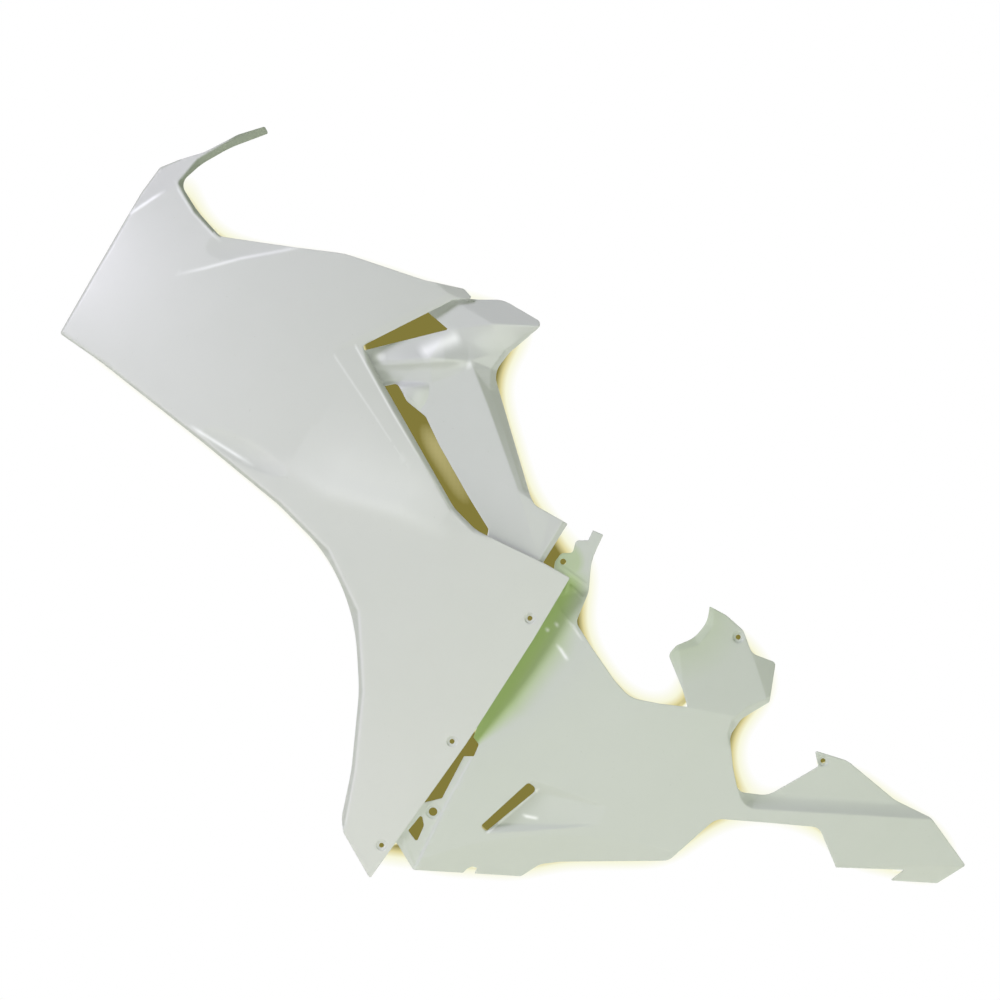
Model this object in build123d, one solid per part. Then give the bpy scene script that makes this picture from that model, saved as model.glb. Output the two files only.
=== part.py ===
"""Left-hand side fairing of a sports motorcycle: upper panel, vent panel and lower panel.

Millimetres. X runs to the rear of the motorcycle, Z is up, and Y runs in from the outer face.
The origin is the middle of the lower panel's ear hole, on the ear's outer face.
Plan outlines are drawn as (x, z) or (x, z, fillet radius), seen square from the side.
"""

import os
from math import acos, comb, sin, tan

from build123d import *

# Walls and fits
WALL = 3.0
SEAM_GAP = 0.3
RIM_DEPTH = 10.0
RIM_WALL = 3.0

# Screw holes and their seats
EAR_HOLE_R = 3.3
SCREW_HOLE_R = 2.75
GROMMET_HOLE_R = 4.7
SEAT_DEPTH = 1.6
SEAT_WIDTH = 2.9
PAD_LENGTH = 4.0
SEAM_PAD_R = 5.2
SHIELD_PAD_R = 8.0
FLANGE_PAD_R = 9.0

# Screws that hold the vent panel
BOSS_R = 4.5
PILOT_DEPTH = 6.4
PILOT_CLEARANCE = 0.1
SCREW_R = 1.9
SCREW_GRIP = 5.8
HEAD_R = 4.0
HEAD_HEIGHT = 2.6
SCREW_PASS = 0.4

# Styling surface: depth of the control net, rows from the bottom, columns from the front
FRONT_X = -570.0
REAR_X = 460.0
LOW_Z = -370.0
HIGH_Z = 490.0
NET = [
    [150, 100, 58, 52, 72, 105],
    [110, 0, -45, -55, -30, 35],
    [95, -40, -70, -50, -15, 25],
    [60, -30, -50, -25, 20, 75],
    [185, 110, 75, 70, 100, 140],
]
NEAR = 150.0
FAR = 260.0
TANGENT_STEP = 1.0

# Upper panel: front tip, windscreen arm, notch, top edge, vent edge, seam, leading edge
UPPER_OUTLINE = [
    (-556.5, 252, 3.5), (-466.5, 408.5, 44), (-446.5, 436.5, 9), (-424.5, 445, 22), (-397, 453, 44),
    (-359.5, 472.5, 22), (-330, 481.5, 2), (-326, 474, 2), (-368.5, 458, 132), (-400.5, 439.5, 66),
    (-423.5, 418.5, 13), (-403.5, 386.5, 132), (-378, 358.5, 13), (-295, 346, 165), (-240, 339, 110),
    (-153, 309.5, 88), (-109, 300, 4.5), (-99, 289, 2), (-121, 287.5, 6.5), (-220.5, 237, 3.5),
    (-198, 196.5), (-120, 59.5, 44), (-95.5, 34.5, 44), (-78, 26, 66), (-22, -1), (7.5, -17.5, 2),
    (-32, -84, 330), (-104.5, -197.5, 550), (-213, -350.5, 2), (-242.5, -298.5, 13), (-244, -282, 33),
    (-233, -230.5, 220), (-224, -141.5, 220), (-229, -55.5, 220), (-262, 11.5, 176),
    (-311.5, 61.5, 176), (-399.5, 133.5, 330), (-509.5, 219.5, 220),
]
SEAM_HOLES = [(-36.5, -62), (-122, -197.5), (-200, -313)]
PLAIN_EDGE = [
    (-215, 290), (-90, 320), (-70, 270), (-60, 45), (40, -10), (-214, -362), (-236, -330),
    (-120, -130), (-130, 30), (-215, 225),
]

# Upper panel: places where its faces break, with the drop below the styling surface
ARM_CREASE = [(-474, 388), (-429, 416.5)]
ARM_TOP = (-446.5, 436.5)
ARM_DROP = 7.0
ARM_FACE = [(-510, 395), (-474, 388), (-425, 418), (-320, 492), (-510, 492)]
VENT_CORNER = (-220.5, 237)
VENT_LEFT_CREASE = [(-248.5, 224), (-102, 39)]
VENT_TOP_CREASE = [(-234, 242.5), (-125.5, 295)]
VENT_DROP = 6.0
VENT_FACE = [(-285, 220), (-250, 262), (-130, 312), (-60, 312), (-60, 20), (-140, 20)]
TOP_CORNER_CREASE = [(-141, 306.5), (-125.5, 295)]
TOP_CORNER = (-100, 290)
TOP_CORNER_DROP = 7.0
TOP_CORNER_FACE = [(-146, 316), (-124, 292), (-118, 275), (-80, 275), (-80, 316)]
SHOULDER_MIDDLE = (-330, 358)
SHOULDER_ALONG = (122, 29)
SHOULDER_HALF = (93, 24)
SHOULDER_DEPTH = 4.0
FLUTE_MIDDLE = (-350, 120.5)
FLUTE_ALONG = (110, -57)
FLUTE_HALF = (66, 14)
FLUTE_DEPTH = 3.5

# Upper panel: edges that turn in, as (x, z, width of the turned band), with the fall of each band
NOTCH_LIP = [
    (-327, 477, 8), (-368.5, 458.5, 7), (-400.5, 440.5, 7), (-419.5, 418.5, 6.5), (-403.5, 387, 5),
    (-386, 366.5, 3), (-379, 359.5, 0.5),
]
NOTCH_FALL = 1.5
VENT_LIP = [
    (-219.5, 236.5, 0.5), (-211, 220.5, 5), (-198, 196.5, 5.5), (-120, 59.5, 5.5), (-96.5, 36, 4),
    (-79, 26.5, 0.5),
]
VENT_FALL = 1.0
FRONT_ROLL = [
    (-243, -290, 8), (-233, -230.5, 16), (-224.5, -141.5, 20), (-229.5, -55.5, 20), (-261, 10, 18),
    (-311.5, 61.5, 14), (-399.5, 133.5, 10), (-509.5, 219.5, 6),
]
FRONT_FALL = 0.3
BAND_SPARE = 3.0
BAND_REACH = 12.0

# Vent panel: corners of its faces as (x, depth, z)
LAP_DEPTH = -8.0
TOP_LAP_DEPTH = 21.5
FIN_LAP_DEPTH = 24.0
VENT_POINTS = {
    "quad_front": (-152, TOP_LAP_DEPTH, 272),
    "quad_top": (-121, TOP_LAP_DEPTH, 287.5),
    "apex": (-77, 6, 261),
    "root": (-124, 13, 254.5),
    "wing_top": (-69.5, 24.4, 286.5),
    "wing_rear": (-36, 16.5, 272),
    "wing_tip": (-24, 8, 258.5),
    "wing_under": (-36, 14.5, 250),
    "wing_edge": (-32.5, 19, 246.5),
    "neck_under": (-64, 16, 232),
    "neck_under_edge": (-58, 23, 226.5),
    "neck": (-79, 13.5, 212),
    "neck_edge": (-72.5, 21, 207),
    "rim_high": (-80, 10.5, 188),
    "rim_high_edge": (-72.5, 18, 187),
    "rim_low": (-43, -3.5, 78),
    "rim_low_edge": (-36.3, 3, 77),
    "crease_high": (-102, 8, 221),
    "crease_mid": (-80, 2, 164),
    "crease_low": (-49.5, -6, 78.5),
    "heel": (-14.5, -6, 54),
    "end_high": (0, -7.5, 44),
    "end_high_edge": (4.5, -2.5, 41),
    "end_low": (-26.5, LAP_DEPTH, 1),
    "end_low_edge": (-22, -3.5, -1),
    "floor_low": (-80.5, LAP_DEPTH, 27),
    "floor_mid": (-124, 8, 109.5),
    "floor_high": (-152, 15, 161),
    "pocket": (-166, 19, 177),
    "fin_low": (-182, FIN_LAP_DEPTH, 197.5),
    "fin_heel": (-144, 14, 196.5),
    "fin_root": (-98.5, 7, 212),
    "fin_end_low": (-198, FIN_LAP_DEPTH, 196.5),
    "fin_end_mid": (-211, FIN_LAP_DEPTH, 219.5),
    "fin_end_high": (-217, FIN_LAP_DEPTH, 232),
    "fin_ridge": (-146, 7, 224),
    "fin_tip": (-127.5, 13.5, 253.5),
}
VENT_FACES = [
    ("quad_front", "quad_top", "apex", "root"),
    ("quad_top", "wing_top", "apex"),
    ("wing_top", "wing_rear", "apex"),
    ("wing_rear", "wing_tip", "apex"),
    ("apex", "wing_tip", "wing_under", "neck_under"),
    ("wing_tip", "wing_edge", "wing_under"),
    ("wing_under", "wing_edge", "neck_under_edge", "neck_under"),
    ("neck_under", "neck_under_edge", "neck_edge", "neck"),
    ("neck", "neck_edge", "rim_high_edge", "rim_high"),
    ("rim_high", "rim_high_edge", "rim_low_edge", "rim_low"),
    ("rim_low", "rim_low_edge", "heel"),
    ("end_high", "end_high_edge", "end_low_edge", "end_low"),
    ("root", "apex", "neck_under", "crease_high"),
    ("crease_high", "neck_under", "neck"),
    ("crease_high", "neck", "fin_root"),
    ("fin_root", "neck", "rim_high"),
    ("fin_root", "rim_high", "crease_mid"),
    ("crease_mid", "rim_high", "rim_low", "crease_low"),
    ("crease_low", "rim_low", "heel"),
    ("crease_low", "heel", "end_low"),
    ("heel", "end_high", "end_low"),
    ("floor_mid", "crease_low", "end_low", "floor_low"),
    ("floor_high", "crease_mid", "crease_low", "floor_mid"),
    ("fin_heel", "fin_root", "crease_mid", "floor_high"),
    ("fin_low", "fin_heel", "floor_high", "pocket"),
    ("fin_end_low", "fin_end_mid", "fin_ridge", "fin_low"),
    ("fin_low", "fin_ridge", "fin_heel"),
    ("fin_ridge", "crease_high", "fin_root", "fin_heel"),
    ("fin_end_mid", "fin_end_high", "fin_tip", "fin_ridge"),
    ("fin_tip", "root", "crease_high", "fin_ridge"),
]
FIN_EAR = [
    (-247, 209, 6), (-243, 221, 6), (-217, 232), (-211, 219.5), (-198, 196.5), (-208, 186, 4),
    (-240, 200, 6),
]
TOP_EAR = [(-152, 272), (-121, 287.5), (-128, 301, 4), (-156, 299, 6), (-160, 284, 6)]
LOW_EAR = [(-80.5, 27), (-26.5, 1), (-28, -16, 5), (-62, -10, 6), (-78, 8, 5)]
VENT_SCREWS = [
    (-232, 209, FIN_LAP_DEPTH),
    (-146, 289, TOP_LAP_DEPTH),
    (-53, 2, LAP_DEPTH),
]

# Lower panel: ear and upright tab, engine cut-out, shield, wheel cut-out, tail, belly, flange
LOWER_OUTLINE = [
    (-2, 9.5, 6.5), (10.5, 9.5, 4.5), (14, 23.5, 4.5), (27.5, 23.5, 2), (32.5, 34.5), (44, 29.5, 1),
    (31, 1.5, 66), (28, -33.5, 33), (14, -66.5, 11), (32, -95, 66), (56.5, -130.5, 44),
    (73.5, -149.5, 33), (106.5, -156, 66), (136.5, -159.5, 1), (131.5, -141.5, 33), (115.5, -102, 7.5),
    (124.5, -92, 6.5), (144, -84, 33), (158.5, -66.5, 33), (161, -49, 1), (179.5, -59, 33),
    (198, -75.5, 13), (207.5, -101, 13), (234, -111, 4.5), (227, -154.5, 3.5), (196, -173, 17.5),
    (183, -192, 17.5), (187, -227, 88), (192.5, -253.5, 11), (225.5, -258, 26.5), (281.5, -225.5, 3.5),
    (277, -208, 2), (313.5, -219.5, 33), (366.5, -263.5, 44), (406.5, -283, 15.5), (445.5, -336.5, 2),
    (414.5, -356.5, 3.5), (362, -353, 1), (377, -341), (301.5, -338, 1), (282.5, -293, 13),
    (227.5, -288, 66), (168.5, -283, 22), (116.5, -330, 15.5), (-3.5, -331, 66), (-25.5, -334, 22),
    (-46, -347.5, 6.5), (-97.5, -344.5, 1), (-94.5, -338, 1), (-100, -336.5, 3), (-105.5, -339, 3),
    (-110, -343.7, 1), (-165, -340.5, 2), (-181.5, -313, 1), (-192.5, -299.5, 2), (-168.5, -269, 2),
    (-147.5, -264, 2), (-133, -260.5, 2), (-109, -214, 1), (-98, -214, 1.5), (-92.5, -201, 3),
    (-98.5, -193, 1), (-92.5, -176.5), (-95.5, -165.5, 2), (-69.5, -121.5), (-36.5, -70),
    (-18.5, -38), (-11, -15), (-9, 0, 7.5),
]
FLANGE_WINDOW = [(-170.5, -296.5, 2), (-155.5, -278, 2), (-153, -291, 6), (-161, -309.5, 2)]
BELLY_SLOT = [(-91, -292.5, 3.5), (-37.5, -243.5, 4), (-28, -250.5, 5), (-68, -279.5, 22), (-84, -296, 3)]
JOGGLE_LINE = [(-28.5, -83), (-69.5, -157), (-91.5, -198.5), (-126.5, -262.5), (-170, -352)]
JOGGLE_WEB_WIDTH = 4.0
LAP_FAR_SIDE = [(-260, -352), (-40, 30), (-20, -40)]

# Lower panel: places where its faces break, with the drop below the styling surface
BELLY_CREASE = [(-146, -325), (118, -319.5)]
BELLY_EDGE = (-46, -347)
BELLY_DROP = 9.0
BELLY_FACE = [(-260, -280), (180, -280), (180, -365), (-260, -365)]
HOLLOW_CREASE = [(28, -96), (-78, -198)]
HOLLOW_EDGE = (-16.5, -55.5)
HOLLOW_DROP = 16.0
HOLLOW_FACE = [(-110, -205), (-50, -205), (60, -100), (60, 45), (-60, 45), (-140, -150)]
NECK_CREASE = [(3.5, -61), (16.5, -80)]
NECK_FOOT = (19, -33)
NECK_FACE = [(-31, -11), (3.5, -61), (16.5, -80), (34, -105), (70, -105), (70, 50), (-31, 50)]
SHIELD_CREASE = [(135.5, -159.5), (192.5, -170)]
SHIELD_TOP = (172.5, -70)
SHIELD_DROP = 16.0
SHIELD_FACE = [(95, -145), (136, -161), (193, -171.5), (250, -182), (250, -35), (95, -35)]
SHIELD_WING_CREASE = [(207, -98.5), (224.5, -152.5)]
SHIELD_WING_EDGE = (234, -112)
SHIELD_WING_DROP = 7.0
SHIELD_WING_FACE = [(200, -80), (228, -165), (250, -165), (250, -80)]
SHIELD_LIP_CREASE = [(127.5, -99.5), (134, -150)]
SHIELD_LIP_EDGE = (117, -104)
SHIELD_LIP_DROP = 4.0
SHIELD_LIP_FACE = [(127.5, -90), (131, -138), (105, -138), (105, -90)]
SHIELD_RETURN = [
    (227, -153, 3), (207, -166.5, 8), (192.5, -177.5, 7), (185.5, -190, 4), (184, -203, 0.5),
]
SHIELD_RETURN_FALL = 1.3
SHIELD_ARC = [(124.5, -93, 5), (144, -84.5, 8), (157, -68, 8), (160.5, -52, 5)]
SHIELD_ARC_FALL = 0.5
TAIL_FOLD = [
    (192.5, -249, 0), (195.8, -261, 0), (201.5, -269, 0), (208.5, -272.2, 0), (270, -276.2, 0),
    (337, -280.3, 0), (404, -284.5, 0), (416, -285.3, 0),
]
TAIL_SET = 10.0
TAIL_WALL = 14.0
TAIL_WALL_SPARE = 2.0
TAIL_FAR_SIDE = [(460, -265), (460, -190), (200, -190)]
TAIL_LIP_CREASE = [(302.5, -338.5), (443.5, -337.5)]
TAIL_LIP_EDGE = (389.5, -356)
TAIL_LIP_DROP = 10.0
TAIL_LIP_FACE = [(300, -330), (460, -330), (460, -366), (300, -366)]
SCOOP_MOUTH = [(-86, -295), (-35, -246)]
SCOOP_END = (44, -279)
SCOOP_DROP = 9.0
SCOOP_TOP_CREASE = [(-36, -239.5), (46, -269.5)]
SCOOP_LOW_CREASE = [(-87, -299), (46, -289)]
SCOOP_WALL_DROP = 27.0
SCOOP_FACE = [(-86, -295), (-35, -246), (-33, -232), (70, -262), (70, -292), (-84, -304)]
SHIELD_HOLE = (192.5, -83)
TAIL_HOLE = (286.5, -219.5)
FLANGE_HOLE = (-143, -275.5)
EAR_HOLE = (0, 0)
RIBS = [
    ((4, -9.5), (25.5, -25)),
    ((9, -27), (21, -39)),
    ((-2, -54.5), (16.5, -80)),
    ((-177, -305), (-164.5, -334)),
]
RIB_WIDTH = 2.2
RIB_HEIGHT = 1.0


def net_depth(x, z):
    """Depth of the styling surface at a place: the net weighted by Bernstein polynomials."""
    rows = len(NET) - 1
    columns = len(NET[0]) - 1
    s = (x - FRONT_X) / (REAR_X - FRONT_X)
    t = (z - LOW_Z) / (HIGH_Z - LOW_Z)
    total = 0.0
    for j, row in enumerate(NET):
        up = comb(rows, j) * t**j * (1 - t) ** (rows - j)
        for i, depth in enumerate(row):
            total += depth * up * comb(columns, i) * s**i * (1 - s) ** (columns - i)
    return total


def on_skin(place, drop=0.0):
    """Point of the styling surface above a place in plan, or so far behind it."""
    return Vector(place[0], net_depth(*place[:2]) + drop, place[1])


def styling_bulk():
    """Everything behind the styling surface."""
    rows = len(NET) - 1
    columns = len(NET[0]) - 1
    grid = []
    for j, row in enumerate(NET):
        z = LOW_Z + (HIGH_Z - LOW_Z) * j / rows
        grid.append([(FRONT_X + (REAR_X - FRONT_X) * i / columns, y, z) for i, y in enumerate(row)])
    return Solid.extrude(Face.make_bezier_surface(grid), Vector(0, FAR, 0))


def rounded(corners, depth):
    """Closed wire in a plane of constant depth: straight sides joined by tangent arcs."""
    points = [Vector(c[0], depth, c[1]) for c in corners]
    ends = []
    for i, corner in enumerate(points):
        radius = corners[i][2] if len(corners[i]) > 2 else 0.0
        to_last = (points[i - 1] - corner).normalized()
        to_next = (points[(i + 1) % len(points)] - corner).normalized()
        half = acos(to_last.dot(to_next)) / 2
        back = radius / tan(half)
        inward = (to_last + to_next).normalized()
        middle = corner + inward * (radius / sin(half) - radius)
        ends.append((corner + to_last * back, middle, corner + to_next * back, radius))
    edges = []
    for i, (start, middle, end, radius) in enumerate(ends):
        if radius > 0:
            edges.append(ThreePointArc(start, middle, end))
        edges.append(Line(end, ends[(i + 1) % len(ends)][0]))
    return Wire(edges)


def through(corners):
    """Prism of a plan outline, right through the depth of the fairing."""
    return Solid.extrude(Face(rounded(corners, -NEAR)), Vector(0, NEAR + FAR, 0))


def plane_depth(a, b, c, place):
    """Depth, at a place in plan, of the plane through three points."""
    normal = (b - a).cross(c - a)
    return a.Y - (normal.X * (place[0] - a.X) + normal.Z * (place[1] - a.Z)) / normal.Y


def in_front(corners, a, b, c):
    """Everything over a plan outline that lies in front of the plane through three points."""
    lifted = [Vector(p[0], plane_depth(a, b, c, p), p[1]) for p in corners]
    return Solid.extrude(Face(Wire.make_polygon(lifted)), Vector(0, -2 * NEAR - FAR, 0))


def behind_crease(crease, edge, drop):
    """Three points of a face that leaves the styling surface at a crease and has dropped at an edge."""
    return on_skin(crease[0]), on_skin(crease[1]), on_skin(edge, drop)


def dish(place, along, half, depth):
    """Ring whose outside sinks a long shallow dish into the styling surface."""
    rise_x = on_skin((place[0] + TANGENT_STEP, place[1])) - on_skin(place)
    rise_z = on_skin((place[0], place[1] + TANGENT_STEP)) - on_skin(place)
    outward = rise_x.cross(rise_z).normalized()
    if outward.Y > 0:
        outward = outward * -1
    lengthwise = rise_x * along[0] + rise_z * along[1]
    across = lengthwise.cross(outward)
    reach = half[0] ** 2 / (2 * depth)
    minor = half[1] ** 2 / (2 * depth)
    middle = on_skin(place) + outward * (reach - depth)
    return Solid.make_torus(reach - minor, minor, Plane(middle, x_dir=lengthwise, z_dir=across))


def band_rows(path, fall, depth_at, reach):
    """Pairs of points down a band that falls away on the left of a path, from so far to its right.

    Each row runs from just in front of the face, over the crease, to past the edge."""
    rows = []
    sides = [Vector(b[0] - a[0], 0, b[1] - a[1]).normalized() for a, b in zip(path, path[1:])]
    for (x, z, width), back, ahead in zip(path, sides[:1] + sides, sides + sides[-1:]):
        along = back + ahead
        inward = Vector(along.Z, 0, -along.X).normalized()
        crease = Vector(x, 0, z) + inward * width
        crease += Vector(0, depth_at((crease.X, crease.Z)), 0)
        down = Vector(0, fall, 0) - inward
        rows.append([crease - down * BAND_SPARE, crease + down * (width + reach)])
    return rows


def wedges(rows):
    """Everything in front of a band, one wedge between each row and the next."""
    ahead = Vector(0, -2 * NEAR - FAR, 0)
    return [Solid.extrude(Face.make_bezier_surface([a, b]), ahead) for a, b in zip(rows, rows[1:])]


def strip(start, end, width):
    """Corners of a straight strip in plan, so wide about a line."""
    along = Vector(end[0] - start[0], end[1] - start[1]).normalized() * (width / 2)
    return [
        (start[0] - along.Y, start[1] + along.X),
        (end[0] - along.Y, end[1] + along.X),
        (end[0] + along.Y, end[1] - along.X),
        (start[0] + along.Y, start[1] - along.X),
    ]


def layer(region, bulk, start, thickness):
    """The part of a region between two copies of a bulk's front, so far behind it."""
    front = bulk.moved(Location((0, start, 0)))
    back = bulk.moved(Location((0, start + thickness, 0)))
    return (region & front) - back


def rod(place, radius, start, end):
    """Round bar along Y between two depths."""
    seat = Plane((place[0], start, place[1]), z_dir=(0, 1, 0))
    return Solid.make_cylinder(radius, end - start, seat)


def seated_hole(panel, bulk, place, depth, hole_r, pad_r):
    """Panel with a screw hole through it, a flat seat sunk round it and a flat pad behind it."""
    seat = depth + SEAT_DEPTH
    pad = rod(place, pad_r, -NEAR, seat + PAD_LENGTH)
    panel += pad & bulk.moved(Location((0, WALL / 2, 0)))
    panel -= rod(place, hole_r + SEAT_WIDTH, -NEAR, seat)
    return panel - rod(place, hole_r, -NEAR, FAR)


bulk = styling_bulk()

# Upper side panel: skin with broken faces, turned-in rims and bosses for the vent panel
arm = behind_crease(ARM_CREASE, ARM_TOP, ARM_DROP)
vent_left = behind_crease(VENT_LEFT_CREASE, VENT_CORNER, VENT_DROP)
vent_top = behind_crease(VENT_TOP_CREASE, VENT_CORNER, VENT_DROP)


def arm_depth(place):
    """Depth of the face that carries the notch's lip."""
    return max(net_depth(*place), plane_depth(*arm, place))


def bevel_depth(place):
    """Depth of the bevel round the vent opening."""
    bevel = min(plane_depth(*vent_left, place), plane_depth(*vent_top, place))
    return max(net_depth(*place), bevel)


def skin_depth(place):
    """Depth of the styling surface."""
    return net_depth(*place)


upper_bulk = bulk - in_front(ARM_FACE, *arm)
upper_bulk -= in_front(VENT_FACE, *vent_left) & in_front(VENT_FACE, *vent_top)
upper_bulk -= in_front(
    TOP_CORNER_FACE, *behind_crease(TOP_CORNER_CREASE, TOP_CORNER, TOP_CORNER_DROP)
)
upper_bulk -= dish(SHOULDER_MIDDLE, SHOULDER_ALONG, SHOULDER_HALF, SHOULDER_DEPTH)
upper_bulk -= dish(FLUTE_MIDDLE, FLUTE_ALONG, FLUTE_HALF, FLUTE_DEPTH)
for path, fall, depth_at in (
    (NOTCH_LIP, NOTCH_FALL, arm_depth),
    (VENT_LIP, VENT_FALL, bevel_depth),
    (FRONT_ROLL, FRONT_FALL, skin_depth),
):
    for wedge in wedges(band_rows(path, fall, depth_at, BAND_REACH)):
        upper_bulk -= wedge
upper_region = through(UPPER_OUTLINE)
upper = layer(upper_region, upper_bulk, 0, WALL)
inset = offset(Face(rounded(UPPER_OUTLINE, -NEAR)), amount=-RIM_WALL)
rim_region = upper_region - extrude(inset, amount=NEAR + FAR, dir=(0, 1, 0)) - through(PLAIN_EDGE)
upper += layer(rim_region, upper_bulk, 0, RIM_DEPTH)
for x, z, seat in VENT_SCREWS:
    upper += rod((x, z), BOSS_R, -NEAR, seat) & upper_bulk.moved(Location((0, WALL / 2, 0)))
for x, z, seat in VENT_SCREWS:
    upper -= rod((x, z), SCREW_R + PILOT_CLEARANCE, seat - PILOT_DEPTH, seat)
for hole in SEAM_HOLES:
    upper = seated_hole(upper, upper_bulk, hole, net_depth(*hole), SCREW_HOLE_R, SEAM_PAD_R)

# Vent inner panel: flat and twisted faces with one wall, and three ears behind the upper panel
plates = []
for names in VENT_FACES:
    corners = [Vector(*VENT_POINTS[name]) for name in names]
    if len(corners) == 4:
        face = Face.make_bezier_surface([[corners[0], corners[1]], [corners[3], corners[2]]])
    else:
        face = Face(Wire.make_polygon(corners))
    plates.append(Solid.extrude(face, Vector(0, WALL, 0)))
for ear, (x, z, seat) in zip([FIN_EAR, TOP_EAR, LOW_EAR], VENT_SCREWS):
    plates.append(Solid.extrude(Face(rounded(ear, seat)), Vector(0, WALL, 0)))
vent = plates[0]
for plate in plates[1:]:
    vent += plate
for x, z, seat in VENT_SCREWS:
    vent -= rod((x, z), SCREW_R + SCREW_PASS, seat, seat + WALL)

# Screws of the vent panel: pan head behind each ear, shank in the boss
screws = []
for x, z, seat in VENT_SCREWS:
    shank = rod((x, z), SCREW_R, seat - SCREW_GRIP, seat + WALL)
    screws.append(shank + rod((x, z), HEAD_R, seat + WALL, seat + WALL + HEAD_HEIGHT))

# Lower side panel: belly skin, joggled flange under the seam, neck with ear, shield and tail
lower_bulk = bulk - in_front(BELLY_FACE, *behind_crease(BELLY_CREASE, BELLY_EDGE, BELLY_DROP))
hollow = behind_crease(HOLLOW_CREASE, HOLLOW_EDGE, HOLLOW_DROP)
lower_bulk -= in_front(HOLLOW_FACE, *hollow)
neck_line = [Vector(p[0], plane_depth(*hollow, p), p[1]) for p in NECK_CREASE]
neck_ramp = in_front(NECK_FACE, *neck_line, Vector(NECK_FOOT[0], 0, NECK_FOOT[1]))
ear_face = [Vector(0, 0, 0), Vector(1, 0, 0), Vector(0, 0, 1)]
lower_bulk -= neck_ramp & in_front(NECK_FACE, *ear_face)
shield = behind_crease(SHIELD_CREASE, SHIELD_TOP, SHIELD_DROP)
lower_bulk -= in_front(SHIELD_FACE, *shield)
for line, edge, drop, face in (
    (SHIELD_WING_CREASE, SHIELD_WING_EDGE, SHIELD_WING_DROP, SHIELD_WING_FACE),
    (SHIELD_LIP_CREASE, SHIELD_LIP_EDGE, SHIELD_LIP_DROP, SHIELD_LIP_FACE),
):
    a, b = [Vector(p[0], plane_depth(*shield, p), p[1]) for p in line]
    c = Vector(edge[0], plane_depth(*shield, edge) + drop, edge[1])
    lower_bulk -= in_front(face, a, b, c)


def shield_depth(place):
    """Depth of the face that carries the shield's turned-in edges."""
    return max(net_depth(*place), plane_depth(*shield, place))


for path, fall in ((SHIELD_RETURN, SHIELD_RETURN_FALL), (SHIELD_ARC, SHIELD_ARC_FALL)):
    for wedge in wedges(band_rows(path, fall, shield_depth, BAND_REACH)):
        lower_bulk -= wedge
tail_floor = bulk.moved(Location((0, TAIL_SET, 0)))
tail_rows = band_rows(TAIL_FOLD, TAIL_SET / TAIL_WALL, skin_depth, TAIL_WALL + TAIL_WALL_SPARE)
tail_plan = [(foot.X, foot.Z) for crease, foot in tail_rows] + TAIL_FAR_SIDE
for cutter in wedges(tail_rows) + [through(tail_plan)]:
    lower_bulk -= cutter - tail_floor
lower_bulk -= in_front(
    TAIL_LIP_FACE, *behind_crease(TAIL_LIP_CREASE, TAIL_LIP_EDGE, TAIL_LIP_DROP)
)
scoop_floor = in_front(
    SCOOP_FACE,
    on_skin(SCOOP_MOUTH[0], SCOOP_DROP),
    on_skin(SCOOP_MOUTH[1], SCOOP_DROP),
    on_skin(SCOOP_END),
)
scoop_middle = [(SCOOP_TOP_CREASE[0][i] + SCOOP_LOW_CREASE[0][i]) / 2 for i in (0, 1)]
scoop_top = in_front(SCOOP_FACE, *behind_crease(SCOOP_TOP_CREASE, scoop_middle, SCOOP_WALL_DROP))
scoop_low = in_front(SCOOP_FACE, *behind_crease(SCOOP_LOW_CREASE, scoop_middle, SCOOP_WALL_DROP))
lower_bulk -= scoop_floor & scoop_top & scoop_low
lap_face = JOGGLE_LINE + LAP_FAR_SIDE
lower_bulk -= through(lap_face) - bulk.moved(Location((0, WALL + SEAM_GAP, 0)))
lower_region = through(LOWER_OUTLINE)
lower = layer(lower_region, lower_bulk, 0, WALL)
joggle_web = JOGGLE_LINE + [(x + JOGGLE_WEB_WIDTH, z) for x, z in reversed(JOGGLE_LINE)]
lower += layer(lower_region & through(joggle_web), bulk, 0, 2 * WALL + SEAM_GAP)
for start, end in RIBS:
    rib = lower_region & through(strip(start, end, RIB_WIDTH))
    lower += layer(rib, lower_bulk, -RIB_HEIGHT, RIB_HEIGHT + WALL / 2)
flange_depth = net_depth(*FLANGE_HOLE) + WALL + SEAM_GAP
for hole, depth, hole_r, pad_r in (
    (SHIELD_HOLE, plane_depth(*shield, SHIELD_HOLE), SCREW_HOLE_R, SHIELD_PAD_R),
    (TAIL_HOLE, net_depth(*TAIL_HOLE) + TAIL_SET, SCREW_HOLE_R, SHIELD_PAD_R),
    (FLANGE_HOLE, flange_depth, GROMMET_HOLE_R, FLANGE_PAD_R),
):
    lower = seated_hole(lower, lower_bulk, hole, depth, hole_r, pad_r)
lower -= through(BELLY_SLOT)
lower -= through(FLANGE_WINDOW)
lower -= rod(EAR_HOLE, EAR_HOLE_R, -NEAR, FAR)

os.makedirs("parts", exist_ok=True)
export_step(upper, "parts/upper_side_panel.step")
export_step(vent, "parts/vent_inner_panel.step")
export_step(Compound(children=screws), "parts/vent_panel_screws.step")
export_step(lower, "parts/lower_side_panel.step")
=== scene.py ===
"""Left-hand side fairing of a sports motorcycle, in unpainted pale plastic, seen square from the side.

Plan places are millimetres in the frame's X and Z, and depth runs in along Y from the outer face.
"""

from math import comb

import bpy
import numpy as np
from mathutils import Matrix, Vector
from mathutils.geometry import delaunay_2d_cdt


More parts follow.
